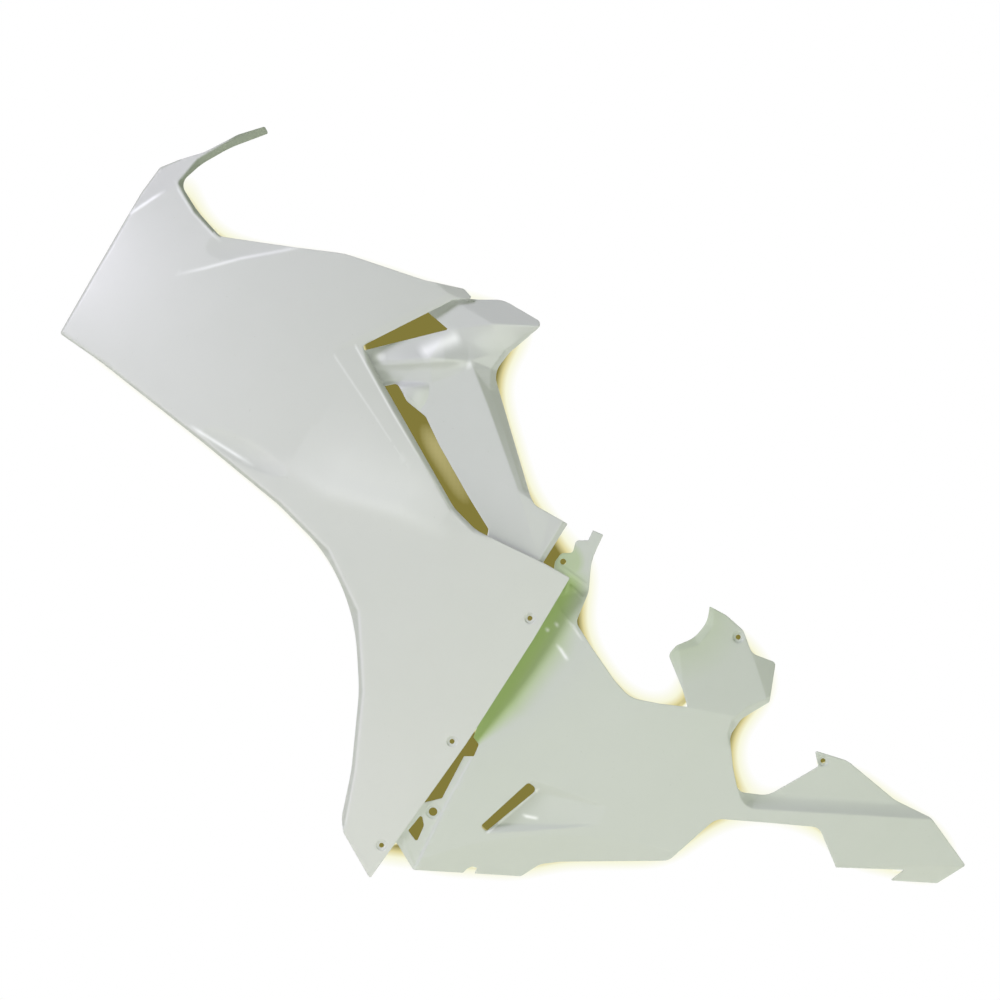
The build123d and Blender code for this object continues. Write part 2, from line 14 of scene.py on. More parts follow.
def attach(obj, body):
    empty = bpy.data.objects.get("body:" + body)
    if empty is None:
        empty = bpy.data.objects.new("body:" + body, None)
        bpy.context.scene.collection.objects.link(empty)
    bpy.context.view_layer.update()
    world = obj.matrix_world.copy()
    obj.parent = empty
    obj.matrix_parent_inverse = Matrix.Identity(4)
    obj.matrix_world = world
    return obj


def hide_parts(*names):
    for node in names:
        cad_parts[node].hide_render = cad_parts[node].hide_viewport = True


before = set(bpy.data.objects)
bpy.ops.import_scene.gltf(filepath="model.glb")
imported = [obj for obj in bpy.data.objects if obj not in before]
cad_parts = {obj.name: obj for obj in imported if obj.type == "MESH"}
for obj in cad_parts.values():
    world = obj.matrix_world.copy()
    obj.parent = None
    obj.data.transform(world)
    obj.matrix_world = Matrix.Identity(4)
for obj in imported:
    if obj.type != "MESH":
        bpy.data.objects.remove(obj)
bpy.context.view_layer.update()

# Upper side panel: the big outer skin, from the front tip and windscreen arm down to the bottom tip.
# Injection moulded, 3 mm thick, with a turned-in rim on its free edges and a plain edge along the seam.
# Its faces break at soft creases, and the vent opening has a bevelled lip.
MM = 0.001
WALL = 3.0
RIM_DEPTH = 10.0
FRONT_X, REAR_X, LOW_Z, HIGH_Z = -570.0, 460.0, -370.0, 490.0
NET = np.array(
    [
        [150, 100, 58, 52, 72, 105],
        [110, 0, -45, -55, -30, 35],
        [95, -40, -70, -50, -15, 25],
        [60, -30, -50, -25, 20, 75],
        [185, 110, 75, 70, 100, 140],
    ],
    float,
)
UPPER_OUTLINE = [
    (-556.5, 252, 3.5), (-466.5, 408.5, 44), (-446.5, 436.5, 9), (-424.5, 445, 22), (-397, 453, 44),
    (-359.5, 472.5, 22), (-330, 481.5, 2), (-326, 474, 2), (-368.5, 458, 132), (-400.5, 439.5, 66),
    (-423.5, 418.5, 13), (-403.5, 386.5, 132), (-378, 358.5, 13), (-295, 346, 165), (-240, 339, 110),
    (-153, 309.5, 88), (-109, 300, 4.5), (-99, 289, 2), (-121, 287.5, 6.5), (-220.5, 237, 3.5),
    (-198, 196.5), (-120, 59.5, 44), (-95.5, 34.5, 44), (-78, 26, 66), (-22, -1), (7.5, -17.5, 2),
    (-32, -84, 330), (-104.5, -197.5, 550), (-213, -350.5, 2), (-242.5, -298.5, 13), (-244, -282, 33),
    (-233, -230.5, 220), (-224, -141.5, 220), (-229, -55.5, 220), (-262, 11.5, 176),
    (-311.5, 61.5, 176), (-399.5, 133.5, 330), (-509.5, 219.5, 220),
]
PLAIN_EDGE = [
    (-215, 290), (-90, 320), (-70, 270), (-60, 45), (40, -10), (-214, -362), (-236, -330),
    (-120, -130), (-130, 30), (-215, 225),
]
ARM_CREASE, ARM_TOP, ARM_DROP = [(-474, 388), (-429, 416.5)], (-446.5, 436.5), 7.0
ARM_FACE = [(-510, 395), (-474, 388), (-425, 418), (-320, 492), (-510, 492)]
ARM_SOLID = [(-404, 428), (-404, 462), (-330, 500), (-310, 465), (-372, 440)]
NOTCH_LIP = [
    (-327, 477, 8), (-368.5, 458.5, 7), (-400.5, 440.5, 7), (-419.5, 418.5, 6.5), (-403.5, 387, 5),
    (-386, 366.5, 3), (-379, 359.5, 0.5),
]
NOTCH_FALL = 0.8
NOTCH_BAND = [(-327, 477, 15), (-352, 466, 14), (-368.5, 458.5, 8)] + NOTCH_LIP[2:]
VENT_LEFT_CREASE, VENT_LEFT_SLOPE = [(-171, 105), (-250.8, 225.8)], 0.05
VENT_TOP_CREASE, VENT_TOP_SLOPE = [(-234, 242.5), (-125.5, 295)], 0.17
VENT_BEVEL_LOW, VENT_BEVEL_FADE = 55.0, 60.0
VENT_LIP = [
    (-219.5, 236.5, 0.5), (-211, 220.5, 5), (-198, 196.5, 5.5), (-120, 59.5, 5.5), (-96.5, 36, 4),
    (-79, 26.5, 0.5),
]
VENT_FALL = 1.0
FRONT_ROLL = [
    (-243, -290, 4), (-233, -230.5, 6), (-224.5, -141.5, 7), (-229.5, -55.5, 7), (-261, 10, 7),
    (-311.5, 61.5, 6), (-399.5, 133.5, 5), (-509.5, 219.5, 4), (-553, 250, 3), (-555.5, 254, 2.5),
    (-466.5, 408, 2.5), (-447, 435, 2.5), (-424.5, 444.5, 2),
]
FRONT_FALL, FRONT_POWER = 0.9, 1.4
BAND_REACH = 12.0
# Painted shade: the turned-in lips of the notch, the vent and the front edge get a darker green-grey colour
# where they turn away from the light.
PAINTED_SHADE_BANDS, PAINTED_SHADE_EDGE = [(NOTCH_BAND, 1.0, 1.0), (VENT_LIP, 0.2, 0.7), (FRONT_ROLL, 0.5, 0.7)], 4.0
CHARACTER_LINE = [(-300, 106, 0.3), (-256, 78.5, 1), (-179, 56.5, 1), (-135, 34.5, 0.3)]
CHARACTER_RISE, CHARACTER_HALF = 2.2, 16.0
# Ridge and highlight lines: each is a small real ridge with a painted highlight of near-white colour along
# it.
RIDGE_AND_HIGHLIGHT_LINES = [
    (1.8, [(-478, 385, 0.5), (-472, 389, 1), (-452, 402.5, 1), (-438, 411, 0)]),
    (1.8, [(-432, 315, 0), (-396, 323, 0.6), (-355, 334, 0.7), (-300, 344, 0.5), (-282, 347, 0)]),
    (1.4, [(-430, 424, 0), (-424, 409, 0.4), (-409, 386, 0.5), (-384, 358, 0.4), (-375, 352, 0)]),
    (1.8, [(-412, 151, 0), (-400, 143, 0.8), (-360, 118, 0.9), (-338, 104, 0)]),
    (1.1, [(-229, 240, 0), (-227, 235, 0.6), (-187.6, 164, 0.6), (-121.6, 55.3, 0.6), (-104, 36, 0)]),
    (1.1, [(-253, 230, 0), (-250, 224.5, 0.3), (-206.8, 160, 0.3), (-171, 105, 0.25), (-160, 88, 0)]),
]
# The near-white colour is a painted highlight; the sheen above the character line is a painted sheen.
HIGHLIGHT_RIDGE_RISE, PAINTED_HIGHLIGHT_COLOUR = 0.3, (0.95, 0.96, 0.97)
SHEEN_MOST, SHEEN_ABOVE, SHEEN_BELOW = 0.28, 60.0, 8.0
TOP_CORNER_CREASE, TOP_CORNER, TOP_CORNER_DROP = [(-141, 306.5), (-125.5, 295)], (-100, 290), 7.0
TOP_CORNER_FACE = [(-146, 316), (-124, 292), (-118, 275), (-80, 275), (-80, 316)]
SHOULDER = {"place": (-330, 358), "along": (122, 29), "half": (93, 24), "depth": 4.0}
FLUTE = {"place": (-350, 120.5), "along": (110, -57), "half": (66, 14), "depth": 3.5}
SEAM_HOLES = [(-36.5, -62), (-122, -197.5), (-200, -313)]
SCREW_HOLE_R = 2.75
SEAT_WIDTH, SEAT_DEPTH, SEAT_BLEND = 2.9, 1.6, 1.2
SEAT_RINGS, PAD_RINGS, PAD_CLEAR, RING_CLEAR = (-1.2, -0.6, 0, 0.6), (-0.05, 0.25, 0.9), 1.5, 0.5
PAD_LENGTH = 4.0
SEAM_PAD_R = 5.2
SOFT_R = 1.3
EDGE_R = 0.7
STRIP = 2.4
RIM_WALL_IN, RIM_FOOT_IN, RIM_FOOT_LIFT = 0.3, 0.1, 0.5
LEAST_ARC_R, ARC_TURN = 0.05, 0.25
COARSE, COARSE_CLEAR = 6.0, 0.6
FINE, FINE_CLEAR = 1.25, 0.7


def net_depth(x, z):
    """Depth of the styling surface: the control net weighted by Bernstein polynomials in x and z."""
    rows, columns = NET.shape[0] - 1, NET.shape[1] - 1
    s = (x - FRONT_X) / (REAR_X - FRONT_X)
    t = (z - LOW_Z) / (HIGH_Z - LOW_Z)
    along = np.stack([comb(columns, i) * s**i * (1 - s) ** (columns - i) for i in range(columns + 1)])
    up = np.stack([comb(rows, j) * t**j * (1 - t) ** (rows - j) for j in range(rows + 1)])
    return np.einsum("jn,ji,in->n", up, NET, along)


def on_skin(place, drop=0.0):
    """Point (x, depth, z) of the styling surface at a plan place, or so far behind it."""
    return np.array([place[0], net_depth(*np.array([place[:2]], float).T)[0] + drop, place[1]])


def inside(corners, x, z):
    """True where a place is within a polygon: a ray to the right crosses its sides an odd number of times."""
    corners = np.array([c[:2] for c in corners], float)
    odd = np.zeros(x.shape, bool)
    for (x0, z0), (x1, z1) in zip(corners, np.roll(corners, -1, axis=0)):
        if z0 != z1:
            spans = (z0 > z) != (z1 > z)
            odd ^= spans & (x < x0 + (z - z0) * (x1 - x0) / (z1 - z0))
    return odd


def plane_depth(points, x, z):
    """Depth of the plane through three points: the first one's, less the normal's slope times the way."""
    a, b, c = points
    normal = np.cross(b - a, c - a)
    return a[1] - (normal[0] * (x - a[0]) + normal[2] * (z - a[2])) / normal[1]


def behind_crease(crease, edge, drop):
    """Three points of a face that leaves the styling surface at a crease and has dropped at an edge."""
    return on_skin(crease[0]), on_skin(crease[1]), on_skin(edge, drop)


def dish_depth(x, z, place, along, half, depth):
    """Depth of a long dish: the skin's tangent plane plus depth, less the squares along and across it."""
    step = 1.0
    middle = on_skin(place)
    slope_x = on_skin((place[0] + step, place[1]))[1] - middle[1]
    slope_z = on_skin((place[0], place[1] + step))[1] - middle[1]
    ahead = np.array(along, float) / np.hypot(*along)
    dx, dz = x - place[0], z - place[1]
    s = (dx * ahead[0] + dz * ahead[1]) / half[0]
    t = (dz * ahead[0] - dx * ahead[1]) / half[1]
    return middle[1] + slope_x * dx + slope_z * dz + depth * (1 - s**2 - t**2)


def past(crease, x, z):
    """How far a place is right of a crease's line, going along it, or nothing on its left."""
    (x0, z0), (x1, z1) = crease
    right = ((x - x0) * (z1 - z0) - (z - z0) * (x1 - x0)) / np.hypot(x1 - x0, z1 - z0)
    return np.clip(right, 0, None)


def cut_to(depth, face, floor, x, z):
    """The larger of two depths within a plan face, and the first one elsewhere."""
    return np.where(inside(face, x, z), np.maximum(depth, floor), depth)


def beside(path, x, z):
    """Distance in from a path's nearest side, and the path's third value there.

    A place right of the path is so far in, one left of it so far out, and one past an end counts as in."""
    nearest = np.full(x.shape, np.inf)
    inward, value = np.zeros(x.shape), np.zeros(x.shape)
    for number, ((x0, z0, v0), (x1, z1, v1)) in enumerate(zip(path, path[1:])):
        length = np.hypot(x1 - x0, z1 - z0)
        ahead = ((x1 - x0) / length, (z1 - z0) / length)
        along = (x - x0) * ahead[0] + (z - z0) * ahead[1]
        right = (x - x0) * ahead[1] - (z - z0) * ahead[0]
        share = np.clip(along / length, 0, 1)
        away = np.hypot(along - share * length, right)
        closer = away < nearest
        nearest = np.where(closer, away, nearest)
        past = ((along < 0) & (number == 0)) | ((along > length) & (number == len(path) - 2))
        inward = np.where(closer, np.where(past, away, np.copysign(away, right)), inward)
        value = np.where(closer, v0 + (v1 - v0) * share, value)
    return inward, value


def turned_in(path, fall, x, z, power=1.0):
    """Extra depth of a band along an edge: its fall times how far a place is past the band's crease."""
    inward, width = beside(path, x, z)
    past = np.clip(1 - inward / width, 0, None)
    return np.where(inward > -BAND_REACH, fall * width * past**power, 0.0)


def ridge(path, half, rise, x, z):
    """Height of a soft ridge along a path: a bell curve across it, scaled by the path's third value."""
    inward, share = beside(path, x, z)
    return rise * share * np.exp(-((inward / half) ** 2))


def upper_faces(x, z):
    """Depth of the upper panel's outer face with sharp creases."""
    depth = net_depth(x, z)
    arm = plane_depth(behind_crease(ARM_CREASE, ARM_TOP, ARM_DROP), x, z)
    depth = cut_to(depth, ARM_FACE, arm, x, z)
    left = VENT_LEFT_SLOPE * past(VENT_LEFT_CREASE, x, z)
    top = VENT_TOP_SLOPE * past(VENT_TOP_CREASE, x, z)
    depth = depth + np.minimum(left, top) * np.clip((z - VENT_BEVEL_LOW) / VENT_BEVEL_FADE, 0, 1)
    corner = plane_depth(behind_crease(TOP_CORNER_CREASE, TOP_CORNER, TOP_CORNER_DROP), x, z)
    depth = cut_to(depth, TOP_CORNER_FACE, corner, x, z)
    depth = np.maximum(depth, dish_depth(x, z, **SHOULDER))
    depth = np.maximum(depth, dish_depth(x, z, **FLUTE))
    depth = depth - ridge(CHARACTER_LINE, CHARACTER_HALF, CHARACTER_RISE, x, z)
    for half, line in RIDGE_AND_HIGHLIGHT_LINES:
        depth = depth - ridge(line, half, HIGHLIGHT_RIDGE_RISE, x, z)
    depth = depth + turned_in(NOTCH_LIP, NOTCH_FALL, x, z) + turned_in(VENT_LIP, VENT_FALL, x, z)
    return depth + turned_in(FRONT_ROLL, FRONT_FALL, x, z, power=FRONT_POWER)


def softened(faces, radius, x, z):
    """Mean of a depth over a disc: its middle, six places half way out and twelve round its rim."""
    total = faces(x, z)
    for count, reach in ((6, radius / 2), (12, radius)):
        for turn in np.arange(count) * 2 * np.pi / count:
            total = total + faces(x + reach * np.cos(turn), z + reach * np.sin(turn))
    return total / 19


def seats(depth, holes, x, z):
    """Depth with a flat seat sunk round each hole, its wall a smooth step about the seat's edge."""
    for place, hole_r in holes:
        out = np.hypot(x - place[0], z - place[1])
        step = np.clip((hole_r + SEAT_WIDTH + SEAT_BLEND / 2 - out) / SEAT_BLEND, 0, 1)
        depth = depth + SEAT_DEPTH * step * step * (3 - 2 * step)
    return depth


def loop(corners, inset, spacing=3.0, least_r=0.5):
    """Closed outline of straight sides and tangent arcs, moved in by inset, as points in plan.

    Each arc keeps its centre, with its radius less the inset on an outer corner and more on an inner one."""
    points = np.array([c[:2] for c in corners], float)
    radii = np.array([max(c[2] if len(c) > 2 else 0, least_r) for c in corners])
    ahead = np.roll(points, -1, axis=0) - points
    ahead /= np.linalg.norm(ahead, axis=1)[:, None]
    before = np.roll(ahead, 1, axis=0)
    turn = np.arctan2(before[:, 0] * ahead[:, 1] - before[:, 1] * ahead[:, 0], (before * ahead).sum(1))
    area = np.sum(points[:, 0] * np.roll(points[:, 1], -1) - points[:, 1] * np.roll(points[:, 0], -1))
    facing = np.sign(area)
    inward = facing * np.stack([-before[:, 1], before[:, 0]], 1)
    outer = np.sign(turn) * facing
    back = radii * np.tan(np.abs(turn) / 2)
    start = points - before * back[:, None]
    centre = start + inward * (outer * radii)[:, None]
    small = np.maximum(radii - outer * inset, LEAST_ARC_R)
    mitre = centre - points
    mitre /= np.linalg.norm(mitre, axis=1)[:, None]
    mitre = points + mitre * (outer * inset / np.cos(turn / 2))[:, None]
    pinched = (radii - outer * inset < LEAST_ARC_R)[:, None]
    centre = np.where(pinched, mitre, centre)
    first = np.arctan2(*(-inward * outer[:, None]).T[::-1])
    pieces = []
    for i in range(len(points)):
        swept = abs(turn[i])
        steps = max(swept / ARC_TURN, swept * radii[i] / spacing)
        swing = np.linspace(0, turn[i], 2 + int(steps))
        arc = centre[i] + small[i] * np.stack([np.cos(first[i] + swing), np.sin(first[i] + swing)], 1)
        pieces.append(arc)
        j = (i + 1) % len(points)
        side = np.linalg.norm(points[j] - points[i]) - back[i] - back[j]
        count = int(side / spacing)
        if count > 0:
            next_start = centre[j] + small[j] * np.array([np.cos(first[j]), np.sin(first[j])])
            share = np.arange(1, count + 1)[:, None] / (count + 1)
            pieces.append(arc[-1] + share * (next_start - arc[-1]))
    return np.concatenate(pieces)


def ring(place, radius, count=28):
    """Points evenly round a circle in plan."""
    turn = np.arange(count) * 2 * np.pi / count
    return np.stack([place[0] + radius * np.cos(turn), place[1] + radius * np.sin(turn)], 1)


def lattice(low, high, step):
    """Triangular lattice of plan places over a box."""
    x, z = np.meshgrid(
        np.arange(low[0], high[0], step), np.arange(low[1], high[1], step * np.sqrt(3) / 2)
    )
    x = x + (np.arange(len(x)) % 2)[:, None] * step / 2
    return np.stack([x.ravel(), z.ravel()], 1)


def bent(faces, places, bend):
    """True where the depth's second differences over a fine step are larger than bend."""
    x, z = places.T
    middle = 2 * faces(x, z)
    most = np.zeros(len(x))
    for turn in np.arange(4) * np.pi / 4:
        dx, dz = 2 * FINE * np.cos(turn), 2 * FINE * np.sin(turn)
        most = np.maximum(most, np.abs(faces(x + dx, z + dz) + faces(x - dx, z - dz) - middle))
    return most > bend


def make_mesh(name, vertices, faces):
    """Smooth mesh object from vertices in millimetres and arrays of faces."""
    mesh = bpy.data.meshes.new(name)
    mesh.from_pydata(vertices * MM, [], [f for block in faces for f in block.tolist()])
    mesh.shade_smooth()
    obj = bpy.data.objects.new(name, mesh)
    bpy.context.scene.collection.objects.link(obj)
    return obj


def no_painted_light(x, z):
    """No painted shade and no painted highlight: a share of nothing everywhere."""
    return np.zeros(len(x))


def moulding(name, outline, windows, holes, faces, front, back, rim, bend=0.12, painted_shade=no_painted_light, painted_highlight=no_painted_light):
    """Moulded panel: its front and back as one triangulation of the plan, joined by a rounded edge.

    The edge is a profile of (inset, depth) carried round the outline, each window and each hole.
    Each vertex of the outer side keeps the painted shade share and the painted highlight share of its plan
    place."""
    def marked(x, z):
        """Depth with both shares added, so that the mesh is fine where any of them changes quickly."""
        return faces(x, z) + painted_shade(x, z) + painted_highlight(x, z)

    borders = [lambda d: loop(outline, d)]
    borders += [lambda d, w=w: loop(w, -d) for w in windows]
    borders += [lambda d, h=h: ring(h[0], h[1] + d) for h in holes]
    wide = 1 + len(windows)
    strips = [b(STRIP) for b in borders[:wide]] + [b(EDGE_R) for b in borders[wide:]]
    coarse = lattice(strips[0].min(0), strips[0].max(0), COARSE)
    fine = lattice(strips[0].min(0), strips[0].max(0), FINE)
    fine = fine[inside(loop(outline, STRIP + FINE_CLEAR * FINE), *fine.T)]
    fine = fine[bent(marked, fine, bend)]
    coarse = coarse[inside(loop(outline, STRIP + COARSE_CLEAR * COARSE), *coarse.T)]
    coarse = coarse[~bent(marked, coarse, bend)]
    filler = np.concatenate([coarse, fine])
    for w in windows:
        filler = filler[~inside(loop(w, -STRIP - FINE), *filler.T)]
    for place, hole_r, pad_r in holes:
        filler = filler[np.hypot(*(filler - place).T) > pad_r + PAD_CLEAR]
        radii = [hole_r + SEAT_WIDTH + d for d in SEAT_RINGS] + [pad_r + d for d in PAD_RINGS]
        rings = np.concatenate([ring(place, r) for r in radii])
        filler = np.concatenate([filler, rings[inside(loop(outline, STRIP + RING_CLEAR), *rings.T)]])
    plan = np.concatenate(strips + [filler])
    edges, starts, n = [], [], 0
    for s in strips:
        starts.append(n)
        edges += [(n + i, n + (i + 1) % len(s)) for i in range(len(s))]
        n += len(s)
    _, _, triangles, origin, _, _ = delaunay_2d_cdt(plan.tolist(), edges, [], 1, 1e-6)
    origin = np.array([o[0] if o else -1 for o in origin])
    triangles = origin[np.array(triangles)]
    middle = plan[triangles].mean(1)
    keep = inside(strips[0], *middle.T)
    for s in strips[1:]:
        keep &= ~inside(s, *middle.T)
    triangles = triangles[keep]
    a, b, c = (plan[triangles[:, i]] for i in range(3))
    area = (b - a)[:, 0] * (c - a)[:, 1] - (b - a)[:, 1] * (c - a)[:, 0]
    triangles[area < 0] = triangles[area < 0][:, ::-1]
    x, z = plan.T
    vertices = [np.stack([x, front(x, z), z], 1), np.stack([x, back(x, z), z], 1)]
    polygons = [triangles, triangles[:, ::-1] + len(plan)]
    outer = [np.ones(len(plan)), np.zeros(len(plan))]
    n = 2 * len(plan)
    for k, border in enumerate(borders):
        at = border(0)
        deep = np.where(rim(*at.T), RIM_DEPTH, 0.0) if k == 0 else np.zeros(len(at))
        turned = deep > 0
        profile = [] if k > len(windows) else [(EDGE_R, 0.0, 0)]
        profile += [(EDGE_R * (1 - np.sin(t)), EDGE_R * (1 - np.cos(t)), 0) for t in np.radians((30, 60, 90))]
        profile += [(EDGE_R * (1 - np.sin(t)), -EDGE_R * (1 - np.cos(t)), 1) for t in np.radians((90, 45, 0))]
        if k <= len(windows):
            profile += [(STRIP - RIM_WALL_IN, 0.0, 1), (STRIP - RIM_FOOT_IN, -RIM_FOOT_LIFT * turned, 1)]
        else:
            profile = profile[:-1]
        rows = [starts[k] + np.arange(len(at))]
        for inset, offset, side in profile:
            px, pz = border(inset).T
            base = back(px, pz) if side else front(px, pz)
            lower = np.where(turned, front(px, pz) + RIM_DEPTH, base) if side else base
            vertices.append(np.stack([px, lower + offset, pz], 1))
            outer.append(np.full(len(at), 1.0 - side))
            rows.append(n + np.arange(len(at)))
            n += len(at)
        rows.append(rows[0] + len(plan))
        for upper_row, lower_row in zip(rows, rows[1:]):
            quad = np.stack([upper_row, lower_row, np.roll(lower_row, -1), np.roll(upper_row, -1)], 1)
            clockwise = np.sum(at[:, 0] * np.roll(at[:, 1], -1) - at[:, 1] * np.roll(at[:, 0], -1)) < 0
            polygons.append(quad[:, ::-1] if clockwise == (k == 0) else quad)
    vertices = np.concatenate(vertices)
    obj = make_mesh(name, vertices, polygons)
    # Painted shade and painted highlights: each vertex keeps its share of them for the material.
    for label, painted_share in (("painted_shade", painted_shade), ("painted_highlight", painted_highlight)):
        share = np.concatenate(outer) * painted_share(vertices[:, 0], vertices[:, 2])
        obj.data.attributes.new(label, "FLOAT", "POINT").data.foreach_set("value", share.astype(np.float32))
    return obj


def backed(front, holes, x, z):
    """Depth of a panel's back: one wall behind its front, and a flat pad behind each seat."""
    depth = front(x, z) + WALL
    for place, hole_r, pad_r in holes:
        out = np.hypot(x - place[0], z - place[1])
        seat = front(np.array([place[0] + hole_r]), np.array([place[1]]))[0]
        depth = np.where(out < pad_r + 0.1, np.maximum(depth, seat + PAD_LENGTH), depth)
    return depth


def plastic(name, colour, drifted, painted_shade, roughness, sheen, grain):
    """Unpainted moulded plastic: a base colour that drifts a little, with painted shade and painted
    highlights mixed into it.

    The mesh's own shares say where. Faint specks, a roughness that varies and a fine grain are over all."""
    material = bpy.data.materials.new(name)
    material.use_nodes = True
    nodes, links = material.node_tree.nodes, material.node_tree.links
    shader = nodes["Principled BSDF"]
    shader.inputs["IOR"].default_value = 1.5
    shader.inputs["Specular IOR Level"].default_value = sheen
    place = nodes.new("ShaderNodeTexCoord")

    def noise(scale, detail):
        """Cloudy noise on the piece's own coordinates."""
        node = nodes.new("ShaderNodeTexNoise")
        node.inputs["Scale"].default_value = scale
        node.inputs["Detail"].default_value = detail
        links.new(place.outputs["Object"], node.inputs["Vector"])
        return node.outputs["Fac"]

    def ramp(source, stops):
        """Colour between two stops, by a source."""
        node = nodes.new("ShaderNodeValToRGB")
        for element, (position, value) in zip(node.color_ramp.elements, stops):
            element.position = position
            element.color = (*value, 1)
        links.new(source, node.inputs["Fac"])
        return node.outputs["Color"]

    drift = ramp(noise(5.0, 4.0), [(0.3, colour), (0.75, drifted)])
    # Painted shade and painted highlights are mixed into the base colour by the mesh's shares.
    for label, painted_colour in (("painted_shade", painted_shade), ("painted_highlight", PAINTED_HIGHLIGHT_COLOUR)):
        share = nodes.new("ShaderNodeAttribute")
        share.attribute_name = label
        turn = nodes.new("ShaderNodeMix")
        turn.data_type = "RGBA"
        turn.inputs["B"].default_value = (*painted_colour, 1)
        links.new(share.outputs["Fac"], turn.inputs["Factor"])
        links.new(drift, turn.inputs["A"])
        drift = turn.outputs["Result"]
    specks = ramp(noise(420.0, 2.0), [(0.72, (1, 1, 1)), (0.8, (0.86, 0.87, 0.84))])
    mix = nodes.new("ShaderNodeMix")
    mix.data_type = "RGBA"
    mix.blend_type = "MULTIPLY"
    mix.inputs["Factor"].default_value = 1.0
    links.new(drift, mix.inputs["A"])
    links.new(specks, mix.inputs["B"])
    links.new(mix.outputs["Result"], shader.inputs["Base Color"])
    rough = nodes.new("ShaderNodeMapRange")
    rough.inputs["To Min"].default_value = roughness - 0.06
    rough.inputs["To Max"].default_value = roughness + 0.08
    links.new(noise(30.0, 5.0), rough.inputs["Value"])
    links.new(rough.outputs["Result"], shader.inputs["Roughness"])
    bump = nodes.new("ShaderNodeBump")
    bump.inputs["Strength"].default_value = grain
    bump.inputs["Distance"].default_value = 0.0004
    links.new(noise(600.0, 2.0), bump.inputs["Height"])
    links.new(bump.outputs["Normal"], shader.inputs["Normal"])
    return material


def add_piece(obj, material, node):
    """A finished piece with its material, attached to the root body, standing for a CAD node that it hides.
    """
    obj.data.materials.append(material)
    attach(obj, "root")
    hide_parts(node)


upper_holes = [(place, SCREW_HOLE_R, SEAM_PAD_R) for place in SEAM_HOLES]


def upper_front(x, z):
    """Outer face of the upper panel: softened creases and a sunk seat at each seam hole."""
    return seats(softened(upper_faces, SOFT_R, x, z), [h[:2] for h in upper_holes], x, z)


def upper_back(x, z):
    """Back of the upper panel: one wall behind its front, and as deep as the rim across the narrow arm."""
    solid = upper_front(x, z) + RIM_DEPTH
    return np.where(inside(ARM_SOLID, x, z), solid, backed(upper_front, upper_holes, x, z))


def upper_painted_shade(x, z):
    """Painted shade share of the upper panel: most on the notch's lip, less on the vent's lip and the front
    roll.
    """
    share = np.zeros(len(x))
    for path, most, reach in PAINTED_SHADE_BANDS:
        inward, width = beside(path, x, z)
        band = np.where(inward > -BAND_REACH, np.clip(PAINTED_SHADE_EDGE * (reach - inward / width), 0, 1), 0)
        share = np.maximum(share, most * band)
    return share


def painted_highlight_along(lines, x, z):
    """Painted highlight share beside lines: the strongest of their bell curves."""
    return np.max([ridge(line, half, 1.0, x, z) for half, line in lines], axis=0)


def upper_painted_highlight(x, z):
    """Painted highlight share of the upper panel: its highlight lines, and a painted sheen above the
    character line, with little below.
    """
    above, share = beside(CHARACTER_LINE, x, z)
    sheen = SHEEN_MOST * share * np.exp(-((above / np.where(above < 0, SHEEN_ABOVE, SHEEN_BELOW)) ** 2))
    return np.maximum(painted_highlight_along(RIDGE_AND_HIGHLIGHT_LINES, x, z), sheen)


upper = moulding(
    "upper_panel",
    UPPER_OUTLINE,
    [],
    upper_holes,
    upper_faces,
    upper_front,
    upper_back,
    lambda x, z: ~inside(PLAIN_EDGE, x, z),
    painted_shade=upper_painted_shade,
    painted_highlight=upper_painted_highlight,
)
add_piece(
    upper,
    plastic(
        "upper_plastic_look",
        colour=(0.62, 0.63, 0.62),
        drifted=(0.6, 0.615, 0.595),
        # painted shade colour of the turned-in lips
        painted_shade=(0.29, 0.325, 0.255),
        roughness=0.32,
        sheen=0.3,
        grain=0.02,
    ),
    "upper_side_panel",
)

# Vent inner panel: a glossier moulding screwed behind the vent opening, with a louvre fin across its top.
# Flat faces meet at creases; the slot beside its front edge and the gap over the fin let the air through.
VENT_OUTLINE = [
    (-160, 284, 6), (-156, 299, 6), (-128, 301, 4), (-119, 290, 1), (-92, 288), (-66, 288, 30),
    (-21, 261.5, 6), (-59, 229.5, 30), (-76, 207, 22), (-36, 72, 40), (-31, 62, 12), (5, 41.5, 1),
    (-22, -1), (-28, -16, 5), (-62, -10, 6),
    (-84, 22, 6), (-82, 36), (-103, 70), (-136, 128, 60), (-151, 159.5, 8), (-171.5, 176, 10),
    (-182, 196, 6), (-208, 190, 4), (-240, 200, 6), (-247, 209, 6), (-243, 221, 6), (-217, 232.5),
    (-126, 255, 1),
]
LAP_DEPTH, TOP_LAP_DEPTH, FIN_LAP_DEPTH = -8.0, 21.5, 24.0
NEWTON_STEPS, SHARE_REACH, SETTLED, VENT_SOFT_R = 7, (-9, 10), 0.05, 0.8
POCKET, POCKET_R, POCKET_RISE, POCKET_TOP, POCKET_FADE = (-174.0, 189.0), 27.0, 8.0, 198.0, 6.0
FIN_NOSE = [(-104, 222, 0), (-130, 220.75, 1), (-175, 218.6, 1), (-208, 217, 0.7)]
FIN_RISE, FIN_TOP_HALF, FIN_UNDER_HALF = 5.0, 18.0, 5.5
# Painted glints on the fin's top: near-white colour laid along these lines.
FIN_GLINTS = [
    (5.0, [(-210, 226, 0), (-203, 225, 0.9), (-194, 226, 0)]),
    (7.5, [(-158, 226, 0), (-151, 231, 1), (-133, 239, 1), (-119, 245, 1), (-112, 248, 0)]),
    (5.0, [(-107, 217, 0), (-103, 216, 0.7), (-100, 212, 0)]),
]
VENT_SCREWS = [(-232, 209, FIN_LAP_DEPTH), (-146, 289, TOP_LAP_DEPTH), (-53, 2, LAP_DEPTH)]
SCREW_R, SCREW_PASS, HEAD_R, HEAD_MARGIN = 1.9, 0.4, 4.0, 1.0
